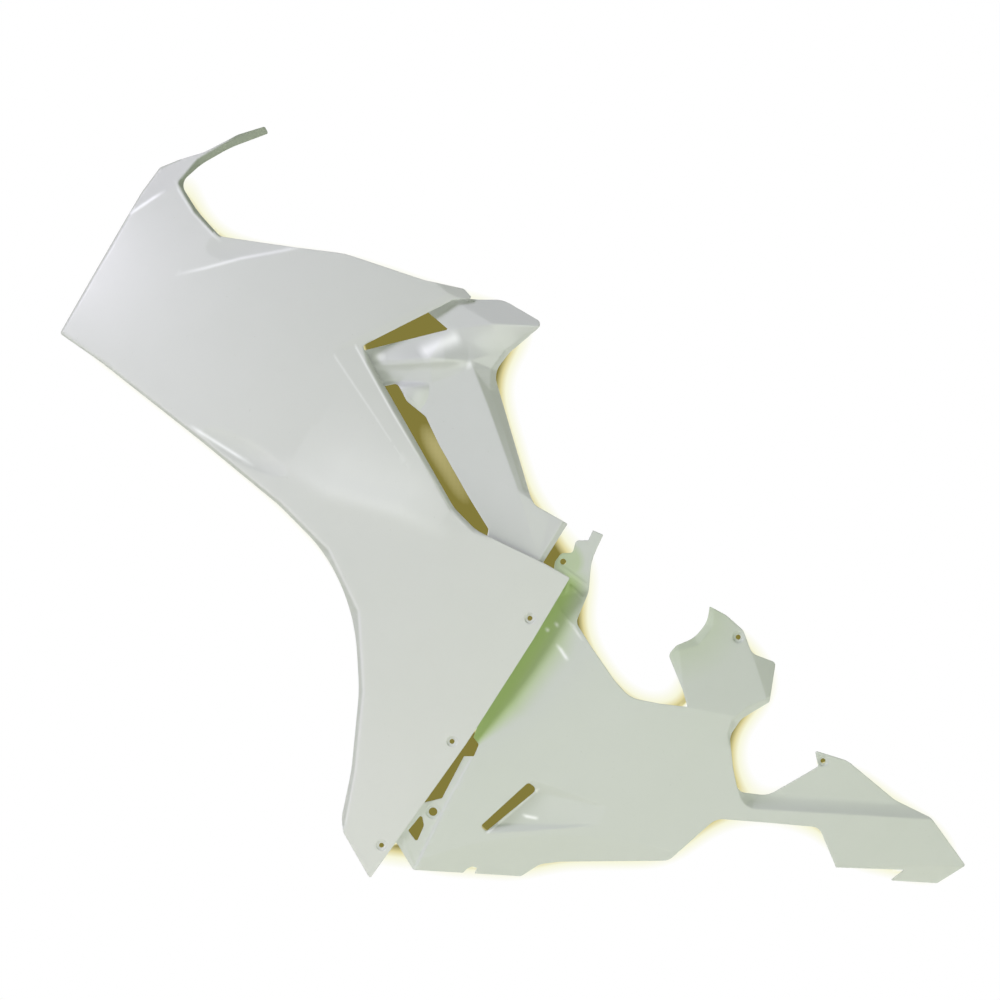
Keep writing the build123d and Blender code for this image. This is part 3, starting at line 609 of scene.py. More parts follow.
VENT_POINTS = {
    "quad_front": (-152, TOP_LAP_DEPTH, 272),
    "quad_top": (-121, TOP_LAP_DEPTH, 287.5),
    "top_ear_rear": (-126, TOP_LAP_DEPTH, 304),
    "top_ear_front": (-163, TOP_LAP_DEPTH, 302),
    "apex": (-77, 6, 261),
    "root": (-124, 13, 254.5),
    "wing_top": (-69.5, 24.4, 286.5),
    "wing_rear": (-36, 16.5, 272),
    "wing_tip": (-24, 8, 258.5),
    "wing_under": (-36, 14.5, 250),
    "wing_edge": (-32.5, 19, 246.5),
    "neck_under": (-64, 16, 232),
    "neck_under_edge": (-58, 23, 226.5),
    "neck": (-79, 13.5, 212),
    "neck_edge": (-71, 21, 207),
    "rim_high": (-80, 10.5, 188),
    "rim_high_edge": (-69.8, 18, 187),
    "rim_low": (-43, -3.5, 78),
    "rim_low_edge": (-36.3, 3, 77),
    "crease_high": (-102, 8, 221),
    "crease_mid": (-80, 2, 164),
    "crease_low": (-49.5, -6, 78.5),
    "heel": (-14.5, -6, 54),
    "end_high": (0, -7.5, 44),
    "end_high_edge": (4.5, -2.5, 41),
    "end_low": (-26.5, LAP_DEPTH, 1),
    "end_low_edge": (-22, -3.5, -1),
    "floor_low": (-80.5, LAP_DEPTH, 27),
    "floor_mid": (-124, 8, 109.5),
    "floor_high": (-152, 15, 161),
    "pocket": (-166, 19, 177),
    "fin_low": (-182, FIN_LAP_DEPTH, 197.5),
    "fin_heel": (-144, 14, 196.5),
    "fin_root": (-98.5, 7, 212),
    "fin_end_low": (-198, FIN_LAP_DEPTH, 196.5),
    "fin_end_mid": (-211, FIN_LAP_DEPTH, 219.5),
    "fin_end_high": (-217, FIN_LAP_DEPTH, 232),
    "fin_ridge": (-146, 7, 224),
    "fin_tip": (-127.5, 13.5, 253.5),
    "ear_low": (-240, FIN_LAP_DEPTH, 190),
    "ear_high": (-250, FIN_LAP_DEPTH, 222),
    "lap_low": (-28, LAP_DEPTH, -20),
    "lap_front": (-90, LAP_DEPTH, 0),
}
VENT_FACES = [
    ("quad_front", "quad_top", "apex", "root"), ("quad_top", "wing_top", "apex"),
    ("quad_top", "quad_front", "top_ear_front", "top_ear_rear"),
    ("wing_top", "wing_rear", "apex"), ("wing_rear", "wing_tip", "apex"),
    ("apex", "wing_tip", "wing_under", "neck_under"), ("wing_tip", "wing_edge", "wing_under"),
    ("wing_under", "wing_edge", "neck_under_edge", "neck_under"),
    ("neck_under", "neck_under_edge", "neck_edge", "neck"),
    ("neck", "neck_edge", "rim_high_edge", "rim_high"),
    ("rim_high", "rim_high_edge", "rim_low_edge", "rim_low"), ("rim_low", "rim_low_edge", "heel"),
    ("end_high", "end_high_edge", "end_low_edge", "end_low"), ("root", "apex", "neck_under", "crease_high"),
    ("crease_high", "neck_under", "neck"), ("crease_high", "neck", "fin_root"),
    ("fin_root", "neck", "rim_high"), ("fin_root", "rim_high", "crease_mid"),
    ("crease_mid", "rim_high", "rim_low", "crease_low"),
    ("crease_low", "rim_low", "heel"), ("crease_low", "heel", "end_low"), ("heel", "end_high", "end_low"),
    ("floor_mid", "crease_low", "end_low", "floor_low"),
    ("floor_high", "crease_mid", "crease_low", "floor_mid"),
    ("fin_heel", "fin_root", "crease_mid", "floor_high"), ("fin_low", "fin_heel", "floor_high", "pocket"),
    ("fin_end_low", "fin_end_mid", "fin_ridge", "fin_low"), ("fin_low", "fin_ridge", "fin_heel"),
    ("fin_ridge", "crease_high", "fin_root", "fin_heel"),
    ("fin_end_mid", "fin_end_high", "fin_tip", "fin_ridge"),
    ("fin_tip", "root", "crease_high", "fin_ridge"), ("fin_tip", "fin_end_high", "quad_front", "root"),
    ("fin_end_low", "ear_low", "fin_end_mid"), ("ear_low", "ear_high", "fin_end_high", "fin_end_mid"),
    ("floor_low", "end_low", "lap_low", "lap_front"),
]


def vent_faces(x, z):
    """Depth of the vent panel with sharp creases, each place on the face it lies furthest inside.

    A face is its first corner, plus shares of its two sides, plus the shares' product times its twist.
    Newton's steps find the shares, and count where they settle; a three-cornered face has no twist."""
    depth = np.zeros(len(x))
    best = np.full(len(x), -np.inf)
    for names in VENT_FACES:
        corners = np.array([VENT_POINTS[name] for name in names], float)
        first, side, rise = corners[0], corners[1] - corners[0], corners[-1] - corners[0]
        twist = corners[2] - corners[1] - rise if len(corners) == 4 else np.zeros(3)
        s, t = np.full(len(x), 0.5), np.full(len(x), 0.5)
        for _ in range(NEWTON_STEPS if len(corners) == 4 else 1):
            off_x = first[0] + s * side[0] + t * rise[0] + s * t * twist[0] - x
            off_z = first[2] + s * side[2] + t * rise[2] + s * t * twist[2] - z
            side_x, side_z = side[0] + t * twist[0], side[2] + t * twist[2]
            rise_x, rise_z = rise[0] + s * twist[0], rise[2] + s * twist[2]
            area = side_x * rise_z - side_z * rise_x
            area = np.where(np.abs(area) < 1, 1, area)
            s = np.clip(s - (off_x * rise_z - off_z * rise_x) / area, *SHARE_REACH)
            t = np.clip(t - (off_z * side_x - off_x * side_z) / area, *SHARE_REACH)
        off_x = first[0] + s * side[0] + t * rise[0] + s * t * twist[0] - x
        off_z = first[2] + s * side[2] + t * rise[2] + s * t * twist[2] - z
        far = 1 - np.maximum(s, t) if len(corners) == 4 else 1 - s - t
        within = np.minimum(np.minimum(s, t), far)
        nearer = (within > best) & (np.hypot(off_x, off_z) < SETTLED)
        best = np.where(nearer, within, best)
        depth = np.where(nearer, first[1] + s * side[1] + t * rise[1] + s * t * twist[1], depth)
    out = np.hypot(x - POCKET[0], z - POCKET[1]) / POCKET_R
    bulge = POCKET_RISE * np.clip(1 - out**2, 0, None) * np.clip((POCKET_TOP - z) / POCKET_FADE, 0, 1)
    above, share = beside(FIN_NOSE, x, z)
    nose = FIN_RISE * share * np.exp(-((above / np.where(above > 0, FIN_TOP_HALF, FIN_UNDER_HALF)) ** 2))
    return depth - bulge - nose


def vent_front(x, z):
    """Outer face of the vent panel with softened creases."""
    return softened(vent_faces, VENT_SOFT_R, x, z)


vent = moulding(
    "vent_panel",
    VENT_OUTLINE,
    [],
    [((x, z), SCREW_R + SCREW_PASS, HEAD_R + HEAD_MARGIN) for x, z, seat in VENT_SCREWS],
    vent_faces,
    vent_front,
    lambda x, z: vent_front(x, z) + WALL,
    lambda x, z: np.zeros(len(x), bool),
    bend=0.03,
    painted_highlight=lambda x, z: painted_highlight_along(FIN_GLINTS, x, z),
)
add_piece(
    vent,
    plastic(
        "vent_plastic_look",
        colour=(0.6, 0.61, 0.61),
        drifted=(0.58, 0.6, 0.585),
        painted_shade=(0.5, 0.54, 0.46),
        roughness=0.2,
        sheen=0.5,
        grain=0.01,
    ),
    "vent_inner_panel",
)

# Lower side panel: belly skin with the ear and tab, shield, tail and flange, one moulding.
# Its flange is joggled under the seam edge of the upper panel; the belly slot has a scoop behind it.
SEAM_GAP, LOWER_SOFT_R = 0.3, 1.2
LOWER_OUTLINE = [
    (-2, 9.5, 6.5), (10.5, 9.5, 4.5), (14, 23.5, 4.5), (27.5, 23.5, 2), (32.5, 34.5), (44, 29.5, 1),
    (31, 1.5, 66), (28, -33.5, 33), (14, -66.5, 11), (32, -95, 66), (56.5, -130.5, 44),
    (73.5, -149.5, 33), (106.5, -156, 66), (136.5, -159.5, 1), (131.5, -141.5, 33), (115.5, -102, 7.5),
    (124.5, -92, 6.5), (144, -84, 33), (158.5, -66.5, 33), (161, -49, 1), (179.5, -59, 33),
    (198, -75.5, 13), (207.5, -101, 13), (234, -111, 4.5), (227, -154.5, 3.5), (196, -173, 17.5),
    (183, -192, 17.5), (187, -227, 88), (192.5, -253.5, 11), (225.5, -258, 26.5), (281.5, -225.5, 3.5),
    (277, -208, 2), (313.5, -219.5, 33), (366.5, -263.5, 44), (406.5, -283, 15.5), (445.5, -336.5, 2),
    (414.5, -356.5, 3.5), (362, -353, 1), (377, -341), (301.5, -338, 1), (282.5, -293, 13),
    (227.5, -288, 66), (168.5, -283, 22), (116.5, -330, 15.5), (-3.5, -331, 66), (-25.5, -334, 22),
    (-46, -347.5, 6.5), (-97.5, -344.5, 1), (-94.5, -338, 1), (-100, -336.5, 3), (-105.5, -339, 3),
    (-110, -343.7, 1), (-165, -340.5, 2), (-181.5, -313, 1), (-192.5, -299.5, 2), (-168.5, -269, 2),
    (-147.5, -264, 2), (-133, -260.5, 2), (-109, -214, 1), (-98, -214, 1.5), (-92.5, -201, 3),
    (-98.5, -193, 1), (-92.5, -176.5), (-95.5, -165.5, 2), (-69.5, -121.5), (-36.5, -70),
    (-18.5, -38), (-11, -15), (-9, 0, 7.5),
]
FLANGE_WINDOW = [(-170.5, -296.5, 2), (-155.5, -278, 2), (-153, -291, 6), (-161, -309.5, 2)]
BELLY_SLOT = [(-91.5, -292, 3.5), (-38, -242.5, 4), (-28, -250.5, 5), (-84, -297, 3)]
LAP_FACE = [
    (-28.5, -83), (-69.5, -157), (-91.5, -198.5), (-126.5, -262.5), (-170, -352), (-260, -352),
    (-40, 30), (-20, -40),
]
BELLY_CREASE, BELLY_EDGE, BELLY_DROP = [(-146, -325), (118, -319.5)], (-46, -347), 9.0
BELLY_FACE = [(-260, -280), (180, -280), (180, -365), (-260, -365)]
HOLLOW_CREASE, HOLLOW_EDGE, HOLLOW_DROP = [(28, -96), (-78, -198)], (-16.5, -55.5), 16.0
HOLLOW_EASE = 3.0
# Painted shade on the lower panel: a yellow-green laid beside the seam where the upper panel's edge shades
# it, round the ear and inside the shield's arc.
HOLLOW_SHADE = [(-95, -196, 8), (-66, -150, 36), (-28, -80, 52), (4, -27, 30)]
EAR_SHADE, EAR_SHADE_R, EAR_SHADE_FADE = 0.5, 25.0, 8.0
ARC_SHADE, ARC_SHADE_WIDTH = 0.3, 45.0
HOLLOW_FACE = [(-150, -300), (40, -300), (160, -130), (60, 45), (-60, 45), (-140, -150)]
NECK_CREASE, NECK_FOOT = [(3.5, -61), (16.5, -80)], (19, -33)
NECK_FACE = [(-31, -11), (3.5, -61), (16.5, -80), (34, -105), (70, -105), (70, 50), (-31, 50)]
SHIELD_CREASE, SHIELD_TOP, SHIELD_DROP = [(135.5, -159.5), (192.5, -170)], (172.5, -70), 16.0
SHIELD_FACE = [(95, -145), (136, -161), (193, -171.5), (250, -182), (250, -35), (95, -35)]
SHIELD_WING = ([(207, -98.5), (224.5, -152.5)], (234, -112), 7.0)
SHIELD_WING_FACE = [(200, -80), (228, -165), (250, -165), (250, -80)]
SHIELD_LIP = ([(127.5, -99.5), (134, -150)], (117, -104), 4.0)
SHIELD_LIP_FACE = [(127.5, -90), (131, -138), (105, -138), (105, -90)]
SHIELD_RETURN = [
    (227, -153, 3), (207, -166.5, 8), (192.5, -177.5, 7), (185.5, -190, 4), (184, -203, 0.5),
]
SHIELD_RETURN_FALL = 1.3
SHIELD_ARC = [(124.5, -93, 5), (144, -84.5, 8), (157, -68, 8), (160.5, -52, 5)]
SHIELD_ARC_FALL = 0.5
TAIL_FOLD = [
    (192.5, -249, 0), (195.8, -261, 0), (201.5, -269, 0), (208.5, -272.2, 0), (270, -276.2, 0),
    (337, -280.3, 0), (404, -284.5, 0), (416, -285.3, 0),
]
TAIL_FAR_SIDE = [(460, -265), (460, -190), (192, -190)]
TAIL_SET, TAIL_WALL, TAIL_CURVE = 10.0, 18.0, 1.7
TAIL_LIP_CREASE, TAIL_LIP_EDGE, TAIL_LIP_DROP = [(302.5, -338.5), (443.5, -337.5)], (389.5, -356), 10.0
TAIL_LIP_FACE = [(300, -330), (460, -330), (460, -366), (300, -366)]
SCOOP_MOUTH, SCOOP_END, SCOOP_DROP = [(-86, -295), (-35, -246)], (44, -279), 9.0
SCOOP_TOP_CREASE, SCOOP_LOW_CREASE = [(-36, -239.5), (46, -269.5)], [(-87, -299), (46, -289)]
SCOOP_WALL_DROP = 27.0
SCOOP_FACE = [(-86, -295), (-35, -246), (-33, -232), (70, -262), (70, -292), (-84, -304)]
RIBS = [
    ((-2, -5), (25.5, -25)), ((9, -27), (21, -39)), ((-2, -54.5), (16.5, -80)),
    ((-177, -305), (-164.5, -334)), ((4.5, -24), (2.5, -32)),
]
RIB_HALF, RIB_HEIGHT = 1.1, 1.0
# Ridge and highlight lines of the lower panel: small real ridges, each with a painted highlight along it.
LOWER_RIDGE_AND_HIGHLIGHT_LINES = [
    (1.8, [(-9, -89, 0), (-3, -96, 0.7), (3, -105, 0.8), (6, -109, 0)]),
    (1.8, [(-10, -66, 0), (-7, -69, 0.7), (-5, -73, 0)]),
    (1.8, [(-20, -72, 0), (-17, -75, 0.7), (-16, -78, 0)]),
    (1.2, [(4, -63, 0), (11, -70, 0.5), (17, -80, 0.5), (22, -88, 0)]),
    (1.8, [(-46, -278, 0), (-40, -280.5, 0.9), (-30, -282.5, 0.7), (-26, -283, 0)]),
    (1.4, [(-86, -298.5, 0), (-82, -297.5, 0.6), (-29, -252, 0.6), (-26, -249, 0)]),
]
SHIELD_HOLE, TAIL_HOLE, FLANGE_HOLE, EAR_HOLE = (192.5, -83), (286.5, -219.5), (-143, -275.5), (0, 0)
GROMMET_HOLE_R, EAR_HOLE_R, SHIELD_PAD_R, FLANGE_PAD_R, EAR_MARGIN = 4.7, 3.3, 8.0, 9.0, 1.2


def lower_faces(x, z):
    """Depth of the lower panel's outer face with sharp creases."""
    skin = net_depth(x, z)
    belly = plane_depth(behind_crease(BELLY_CREASE, BELLY_EDGE, BELLY_DROP), x, z)
    depth = cut_to(skin, BELLY_FACE, belly, x, z)
    hollow = behind_crease(HOLLOW_CREASE, HOLLOW_EDGE, HOLLOW_DROP)
    deeper = plane_depth(hollow, x, z) - depth
    eased = HOLLOW_EASE * np.logaddexp(0, deeper / HOLLOW_EASE)
    depth = np.where(inside(HOLLOW_FACE, x, z), depth + eased, depth)
    line = [np.array([p[0], plane_depth(hollow, *p), p[1]]) for p in NECK_CREASE]
    ramp = plane_depth((*line, np.array([NECK_FOOT[0], 0.0, NECK_FOOT[1]])), x, z)
    depth = cut_to(depth, NECK_FACE, np.minimum(ramp, 0.0), x, z)
    shield = behind_crease(SHIELD_CREASE, SHIELD_TOP, SHIELD_DROP)
    depth = cut_to(depth, SHIELD_FACE, plane_depth(shield, x, z), x, z)
    for (line, edge, drop), face in ((SHIELD_WING, SHIELD_WING_FACE), (SHIELD_LIP, SHIELD_LIP_FACE)):
        points = [np.array([p[0], plane_depth(shield, *p), p[1]]) for p in (*line, edge)]
        points[2][1] += drop
        depth = cut_to(depth, face, plane_depth(points, x, z), x, z)
    depth = depth + turned_in(SHIELD_RETURN, SHIELD_RETURN_FALL, x, z)
    depth = depth + turned_in(SHIELD_ARC, SHIELD_ARC_FALL, x, z)
    out, _ = beside(TAIL_FOLD, x, z)
    sunk = 1 - (1 - np.clip(-out / TAIL_WALL, 0, 1)) ** TAIL_CURVE
    depth = np.where(inside(TAIL_FOLD + TAIL_FAR_SIDE, x, z), skin + TAIL_SET * sunk, depth)
    lip = plane_depth(behind_crease(TAIL_LIP_CREASE, TAIL_LIP_EDGE, TAIL_LIP_DROP), x, z)
    depth = cut_to(depth, TAIL_LIP_FACE, lip, x, z)
    middle = np.mean([SCOOP_TOP_CREASE[0], SCOOP_LOW_CREASE[0]], axis=0)
    mouth = [on_skin(corner, SCOOP_DROP) for corner in SCOOP_MOUTH]
    scoop = plane_depth((*mouth, on_skin(SCOOP_END)), x, z)
    scoop = np.minimum(scoop, plane_depth(behind_crease(SCOOP_TOP_CREASE, middle, SCOOP_WALL_DROP), x, z))
    scoop = np.minimum(scoop, plane_depth(behind_crease(SCOOP_LOW_CREASE, middle, SCOOP_WALL_DROP), x, z))
    depth = cut_to(depth, SCOOP_FACE, scoop, x, z)
    depth = cut_to(depth, LAP_FACE, skin + WALL + SEAM_GAP, x, z)
    for start, end in RIBS:
        depth = depth - ridge([(*start, 1), (*end, 1)], RIB_HALF, RIB_HEIGHT, x, z)
    for half, line in LOWER_RIDGE_AND_HIGHLIGHT_LINES:
        depth = depth - ridge(line, half, HIGHLIGHT_RIDGE_RISE, x, z)
    return depth


lower_holes = [
    (SHIELD_HOLE, SCREW_HOLE_R, SHIELD_PAD_R),
    (TAIL_HOLE, SCREW_HOLE_R, SHIELD_PAD_R),
    (FLANGE_HOLE, GROMMET_HOLE_R, FLANGE_PAD_R),
]


def lower_front(x, z):
    """Outer face of the lower panel: softened creases and sunk seats."""
    return seats(softened(lower_faces, LOWER_SOFT_R, x, z), [h[:2] for h in lower_holes], x, z)


def lower_painted_shade(x, z):
    """Painted shade share of the lower panel: full beside the seam, less round the ear and by the shield's
    arc.
    """
    inward, width = beside(HOLLOW_SHADE, x, z)
    hollow = np.clip(1 - inward / width, 0, 1)
    from_hole = np.hypot(x - EAR_HOLE[0], z - EAR_HOLE[1])
    ear = EAR_SHADE * np.clip((EAR_SHADE_R - from_hole) / EAR_SHADE_FADE, 0, 1)
    from_arc = np.abs(beside(SHIELD_ARC, x, z)[0])
    arc = ARC_SHADE * np.clip(1 - from_arc / ARC_SHADE_WIDTH, 0, 1)
    return np.maximum(np.maximum(hollow * hollow * (3 - 2 * hollow), ear), arc)


lower = moulding(
    "lower_panel",
    LOWER_OUTLINE,
    [FLANGE_WINDOW, BELLY_SLOT],
    lower_holes + [(EAR_HOLE, EAR_HOLE_R, EAR_HOLE_R + SEAT_WIDTH + EAR_MARGIN)],
    lower_faces,
    lower_front,
    lambda x, z: backed(lower_front, lower_holes, x, z),
    lambda x, z: np.zeros(len(x), bool),
    painted_shade=lower_painted_shade,
    painted_highlight=lambda x, z: painted_highlight_along(LOWER_RIDGE_AND_HIGHLIGHT_LINES, x, z),
)
add_piece(
    lower,
    plastic(
        "lower_plastic_look",
        colour=(0.565, 0.59, 0.565),
        drifted=(0.55, 0.58, 0.54),
        # painted shade colour beside the seam, round the ear and by the shield's arc
        painted_shade=(0.37, 0.5, 0.19),
        roughness=0.34,
        sheen=0.3,
        grain=0.02,
    ),
    "lower_side_panel",
)

# Screws of the vent panel: three zinc-plated pan heads, driven from behind through the panel's ears.
# Each grips a round boss that stands on the back of the upper panel.
SCREW_GRIP, SCREW_POINT = 5.8, 0.8
HEAD_HEIGHT, HEAD_ROUND, SOCKET_R, SOCKET_DEPTH = 2.6, 0.9, 1.3, 1.4
BOSS_R, PILOT_R, PILOT_DEPTH, BOSS_ROOT, BOSS_CHAMFER = 4.5, 2.0, 6.4, 1.5, 0.4
AXIS_R = 0.05


def lathe(name, profiles, places, count=32):
    """Turned pieces in one mesh: each profile of (radius, depth), closed, goes once round its place."""
    turn = np.arange(count) * 2 * np.pi / count
    vertices, faces, n = [], [], 0
    for (px, pz), profile in zip(places, profiles):
        r, y = np.array(profile, float).T[:, :, None]
        points = [px + r * np.cos(turn), y + 0 * turn, pz + r * np.sin(turn)]
        vertices.append(np.stack(points, -1).reshape(-1, 3))
        rows = n + np.arange(len(profile) * count).reshape(len(profile), count)
        following = np.roll(rows, -1, axis=0)
        quad = np.stack([rows, np.roll(rows, -1, axis=1), np.roll(following, -1, axis=1), following], -1)
        faces.append(quad.reshape(-1, 4))
        n += len(profile) * count
    return make_mesh(name, np.concatenate(vertices), faces)


def screw_profile(seat):
    """Outside of a pan-head screw from its point to the socket in its head."""
    under, top = seat + WALL, seat + WALL + HEAD_HEIGHT
    return [
        (AXIS_R, seat - SCREW_GRIP), (SCREW_R - SCREW_POINT, seat - SCREW_GRIP),
        (SCREW_R, seat - SCREW_GRIP + SCREW_POINT), (SCREW_R, under), (HEAD_R, under),
        (HEAD_R, top - HEAD_ROUND), (HEAD_R - 0.3 * HEAD_ROUND, top - 0.3 * HEAD_ROUND),
        (HEAD_R - HEAD_ROUND, top), (SOCKET_R, top), (SOCKET_R, top - SOCKET_DEPTH),
        (AXIS_R, top - SOCKET_DEPTH),
    ]


def boss_profile(x, z, seat):
    """Tube from inside the upper panel's wall down to an ear, with the screw's pilot hole in its end."""
    root = upper_front(np.array([x], float), np.array([z], float))[0] + BOSS_ROOT
    return [
        (PILOT_R, seat), (PILOT_R, seat - PILOT_DEPTH), (AXIS_R, seat - PILOT_DEPTH), (AXIS_R, root),
        (BOSS_R, root), (BOSS_R, seat - BOSS_CHAMFER), (BOSS_R - BOSS_CHAMFER, seat),
    ]


def steel(name):
    """Zinc-plated steel: a cool grey metal with faint streaks in its colour and roughness."""
    material = bpy.data.materials.new(name)
    material.use_nodes = True
    nodes, links = material.node_tree.nodes, material.node_tree.links
    shader = nodes["Principled BSDF"]
    shader.inputs["Metallic"].default_value = 1.0
    place = nodes.new("ShaderNodeTexCoord")
    streaks = nodes.new("ShaderNodeTexNoise")
    streaks.inputs["Scale"].default_value = 700.0
    streaks.inputs["Detail"].default_value = 3.0
    links.new(place.outputs["Object"], streaks.inputs["Vector"])
    tint = nodes.new("ShaderNodeValToRGB")
    tint.color_ramp.elements[0].color = (0.5, 0.5, 0.5, 1)
    tint.color_ramp.elements[1].color = (0.62, 0.61, 0.58, 1)
    links.new(streaks.outputs["Fac"], tint.inputs["Fac"])
    links.new(tint.outputs["Color"], shader.inputs["Base Color"])
    rough = nodes.new("ShaderNodeMapRange")
    rough.inputs["To Min"].default_value = 0.3
    rough.inputs["To Max"].default_value = 0.5
    links.new(streaks.outputs["Fac"], rough.inputs["Value"])
    links.new(rough.outputs["Result"], shader.inputs["Roughness"])
    return material


screw_places = [(x, z) for x, z, seat in VENT_SCREWS]
screws = lathe("vent_screws", [screw_profile(seat) for x, z, seat in VENT_SCREWS], screw_places)
add_piece(screws, steel("screw_steel_look"), "vent_panel_screws")
bosses = lathe("vent_screw_bosses", [boss_profile(*screw) for screw in VENT_SCREWS], screw_places)
add_piece(bosses, upper.data.materials[0], "upper_side_panel")

# Studio: a white sheet draped close behind the fairing, a pale floor and three soft lights.
# The sheet carries painted shadows behind slots, holes and open edges, worked out from the plan of the
# panels.
DRAPE_GAP, DRAPE_SPREAD, DRAPE_MARGIN, DRAPE_STEP = 46.0, 4000.0, 150.0, 5.0
FLOOR_Z, FLOOR_FRONT, FLOOR_REACH = -1.0, -1.3, 4.0
# Painted shadow tones of the sheet: white, then pale yellow, olive and dark olive as the panels' cover grows.
SHADE_STOPS = [
    (0.4, (1, 1, 1)), (0.56, (0.93, 0.93, 0.72)), (0.64, (0.74, 0.67, 0.34)), (0.72, (0.225, 0.195, 0.045)),
]
SHADE_REACH, SHADE_RIGHT, SHADE_UP, HOLE_REACH = 36.0, 8.0, -4.0, 7.0
EDGE_REACH, EDGE_FADE = 12.0, 0.3
SLOT_LEAST, SLOT_REACH, SLOT_GAIN = 0.64, 25.0, 8.0
SCALE = 1.1
VIEW_X, VIEW_Y, VIEW_Z = -0.0693, 0.03, 0.06765
VIEW_DISTANCE, SENSOR_WIDTH = 12.0, 36.0


def plain(name, corners, material):
    """One flat four-cornered sheet of the stage."""
    mesh = bpy.data.meshes.new(name)
    mesh.from_pydata(corners, [], [(0, 1, 2, 3)])
    mesh.materials.append(material)
    obj = bpy.data.objects.new(name, mesh)
    bpy.context.scene.collection.objects.link(obj)


paper = bpy.data.materials.new("stage_paper")
paper.use_nodes = True
nodes, links = paper.node_tree.nodes, paper.node_tree.links
shader = nodes["Principled BSDF"]
shader.inputs["Base Color"].default_value = (0.93, 0.92, 0.86, 1)
shader.inputs["Roughness"].default_value = 0.9
shader.inputs["Specular IOR Level"].default_value = 0.0
shade = nodes.new("ShaderNodeAttribute")
shade.attribute_name = "shade"
painted_shadow_tone = nodes.new("ShaderNodeValToRGB")
for position, colour in SHADE_STOPS[1:-1]:
    painted_shadow_tone.color_ramp.elements.new(position)
for element, (position, colour) in zip(painted_shadow_tone.color_ramp.elements, SHADE_STOPS):
    element.position = position
    element.color = (*colour, 1)
links.new(shade.outputs["Fac"], painted_shadow_tone.inputs["Fac"])
# The sheet's emission shows the painted shadow tones to camera, glossy and transmission rays.
glow = nodes.new("ShaderNodeEmission")
links.new(painted_shadow_tone.outputs["Color"], glow.inputs["Color"])
rays = nodes.new("ShaderNodeLightPath")
both = nodes.new("ShaderNodeMixShader")
seen = rays.outputs["Is Camera Ray"]
for kind in ("Is Glossy Ray", "Is Transmission Ray"):
    either = nodes.new("ShaderNodeMath")
    either.operation = "MAXIMUM"
    links.new(seen, either.inputs[0])
    links.new(rays.outputs[kind], either.inputs[1])
    seen = either.outputs["Value"]
links.new(seen, both.inputs["Fac"])
links.new(shader.outputs["BSDF"], both.inputs[1])
links.new(glow.outputs["Emission"], both.inputs[2])
clear = nodes.new("ShaderNodeBsdfTransparent")
side = nodes.new("ShaderNodeNewGeometry")
choose = nodes.new("ShaderNodeMixShader")
hidden = nodes.new("ShaderNodeMath")
hidden.operation = "MAXIMUM"
links.new(side.outputs["Backfacing"], hidden.inputs[0])
links.new(rays.outputs["Is Shadow Ray"], hidden.inputs[1])
links.new(hidden.outputs["Value"], choose.inputs["Fac"])
links.new(both.outputs["Shader"], choose.inputs[1])
links.new(clear.outputs["BSDF"], choose.inputs[2])
links.new(choose.outputs["Shader"], nodes["Material Output"].inputs["Surface"])


def drape_places(low, high):
    """Places across the sheet: its two ends, and even steps over the fairing and a margin each side."""
    even = np.arange(low - DRAPE_MARGIN, high + DRAPE_MARGIN, DRAPE_STEP)
    return np.concatenate([[-DRAPE_SPREAD], even, [DRAPE_SPREAD]])


def spread(places, shift, reach):
    """Weights by which each place takes up its neighbours: a bell curve moved by a shift, summing to one."""
    weights = np.exp(-(((places[:, None] - places - shift) / reach) ** 2))
    return weights / weights.sum(1, keepdims=True)


def blurred(plan, reach, right=0.0, up=0.0):
    """A plan of the sheet spread by a bell curve both ways."""
    return spread(upward, up, reach) @ plan @ spread(across, right, reach).T


across, upward = drape_places(FRONT_X, REAR_X), drape_places(LOW_Z, HIGH_Z)
sheet_x, sheet_z = (values.ravel() for values in np.meshgrid(across, upward))
sheet_y = net_depth(np.clip(sheet_x, FRONT_X, REAR_X), np.clip(sheet_z, LOW_Z, HIGH_Z)) + DRAPE_GAP
number = np.arange(len(sheet_x)).reshape(len(upward), len(across))
quads = np.stack([number[:-1, :-1], number[:-1, 1:], number[1:, 1:], number[1:, :-1]], -1).reshape(-1, 4)
sheet = make_mesh("stage_sheet", np.stack([sheet_x, sheet_y, sheet_z], 1), [quads])
sheet.data.materials.append(paper)
covered = inside(UPPER_OUTLINE, sheet_x, sheet_z) | inside(VENT_OUTLINE, sheet_x, sheet_z)
belly = inside(LOWER_OUTLINE, sheet_x, sheet_z)
for window in (FLANGE_WINDOW, BELLY_SLOT):
    belly &= ~inside(window, sheet_x, sheet_z)
covered = (covered | belly).reshape(number.shape).astype(float)
# Painted shadow: the panels' plan cover, blurred and moved right and down, kept near the edges and behind the
# slots.
shaded = blurred(covered, SHADE_REACH, SHADE_RIGHT, SHADE_UP)
slots = blurred(((shaded > SLOT_LEAST) & (covered == 0)).astype(float), SLOT_REACH)
by_edge = np.clip((1 - blurred(covered, EDGE_REACH)) / EDGE_FADE, 0, 1)
shaded = (shaded * np.maximum(by_edge, np.clip(SLOT_GAIN * slots, 0, 1))).ravel()
# Painted dark spots on the sheet behind each hole.
for x, z in [hole[0] for hole in upper_holes + lower_holes] + [EAR_HOLE]:
    shaded = np.maximum(shaded, np.exp(-((sheet_x - x) ** 2 + (sheet_z - z) ** 2) / HOLE_REACH**2))
sheet.data.attributes.new("shade", "FLOAT", "POINT").data.foreach_set("value", shaded.astype(np.float32))
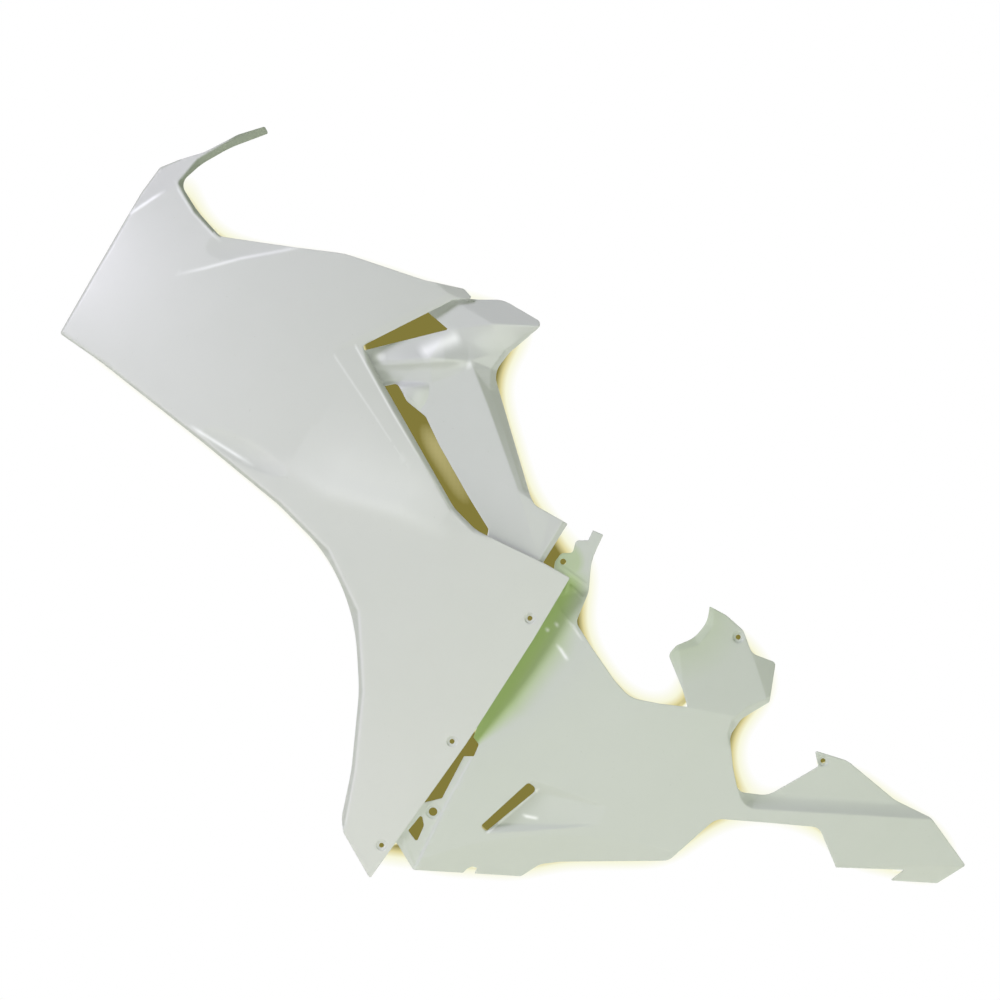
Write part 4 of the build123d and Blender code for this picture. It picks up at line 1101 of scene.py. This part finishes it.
floor_corners = [
    (-FLOOR_REACH, FLOOR_FRONT, FLOOR_Z), (FLOOR_REACH, FLOOR_FRONT, FLOOR_Z),
    (FLOOR_REACH, FLOOR_REACH, FLOOR_Z), (-FLOOR_REACH, FLOOR_REACH, FLOOR_Z),
]
plain("stage_floor", floor_corners, paper)


def area_light(name, place, target, size, power, colour):
    """Square soft light at a place, turned to a target."""
    data = bpy.data.lights.new(name, "AREA")
    data.size = size
    data.energy = power
    data.color = colour
    obj = bpy.data.objects.new(name, data)
    aim = np.array(target) - np.array(place)
    obj.location = place
    obj.rotation_euler = Vector(aim).to_track_quat("-Z", "Y").to_euler()
    bpy.context.scene.collection.objects.link(obj)


area_light("key", (-6.75, -3.9, 4.5), (0, 0, 0), 2.5, 635.0, (0.89, 0.85, 1.0))
area_light("low_fill", (2.6, -7.1, -2.7), (0, 0, 0), 7.0, 430.0, (0.95, 1.0, 0.88))
area_light("back_fill", (1.0, 3.0, 1.5), (0, 0, 0), 2.0, 60.0, (1.0, 1.0, 1.0))
world = bpy.data.worlds.new("studio")
world.use_nodes = True
nodes, links = world.node_tree.nodes, world.node_tree.links
nodes["Background"].inputs["Color"].default_value = (0.85, 1.0, 0.6, 1)
nodes["Background"].inputs["Strength"].default_value = 0.1
white = nodes.new("ShaderNodeBackground")
white.inputs["Color"].default_value = (1, 1, 1, 1)
rays = nodes.new("ShaderNodeLightPath")
choose = nodes.new("ShaderNodeMixShader")
links.new(rays.outputs["Is Camera Ray"], choose.inputs["Fac"])
links.new(nodes["Background"].outputs["Background"], choose.inputs[1])
links.new(white.outputs["Background"], choose.inputs[2])
links.new(choose.outputs["Shader"], nodes["World Output"].inputs["Surface"])
bpy.context.scene.world = world

camera_data = bpy.data.cameras.new("view")
camera_data.sensor_width = SENSOR_WIDTH
camera_data.lens = SENSOR_WIDTH * VIEW_DISTANCE / SCALE
camera_data.clip_end = 100.0
camera = bpy.data.objects.new("view", camera_data)
camera.location = (VIEW_X, VIEW_Y - VIEW_DISTANCE, VIEW_Z)
camera.rotation_euler = (np.pi / 2, 0, 0)
bpy.context.scene.collection.objects.link(camera)
bpy.context.scene.camera = camera
bpy.context.scene.view_settings.view_transform = "Standard"
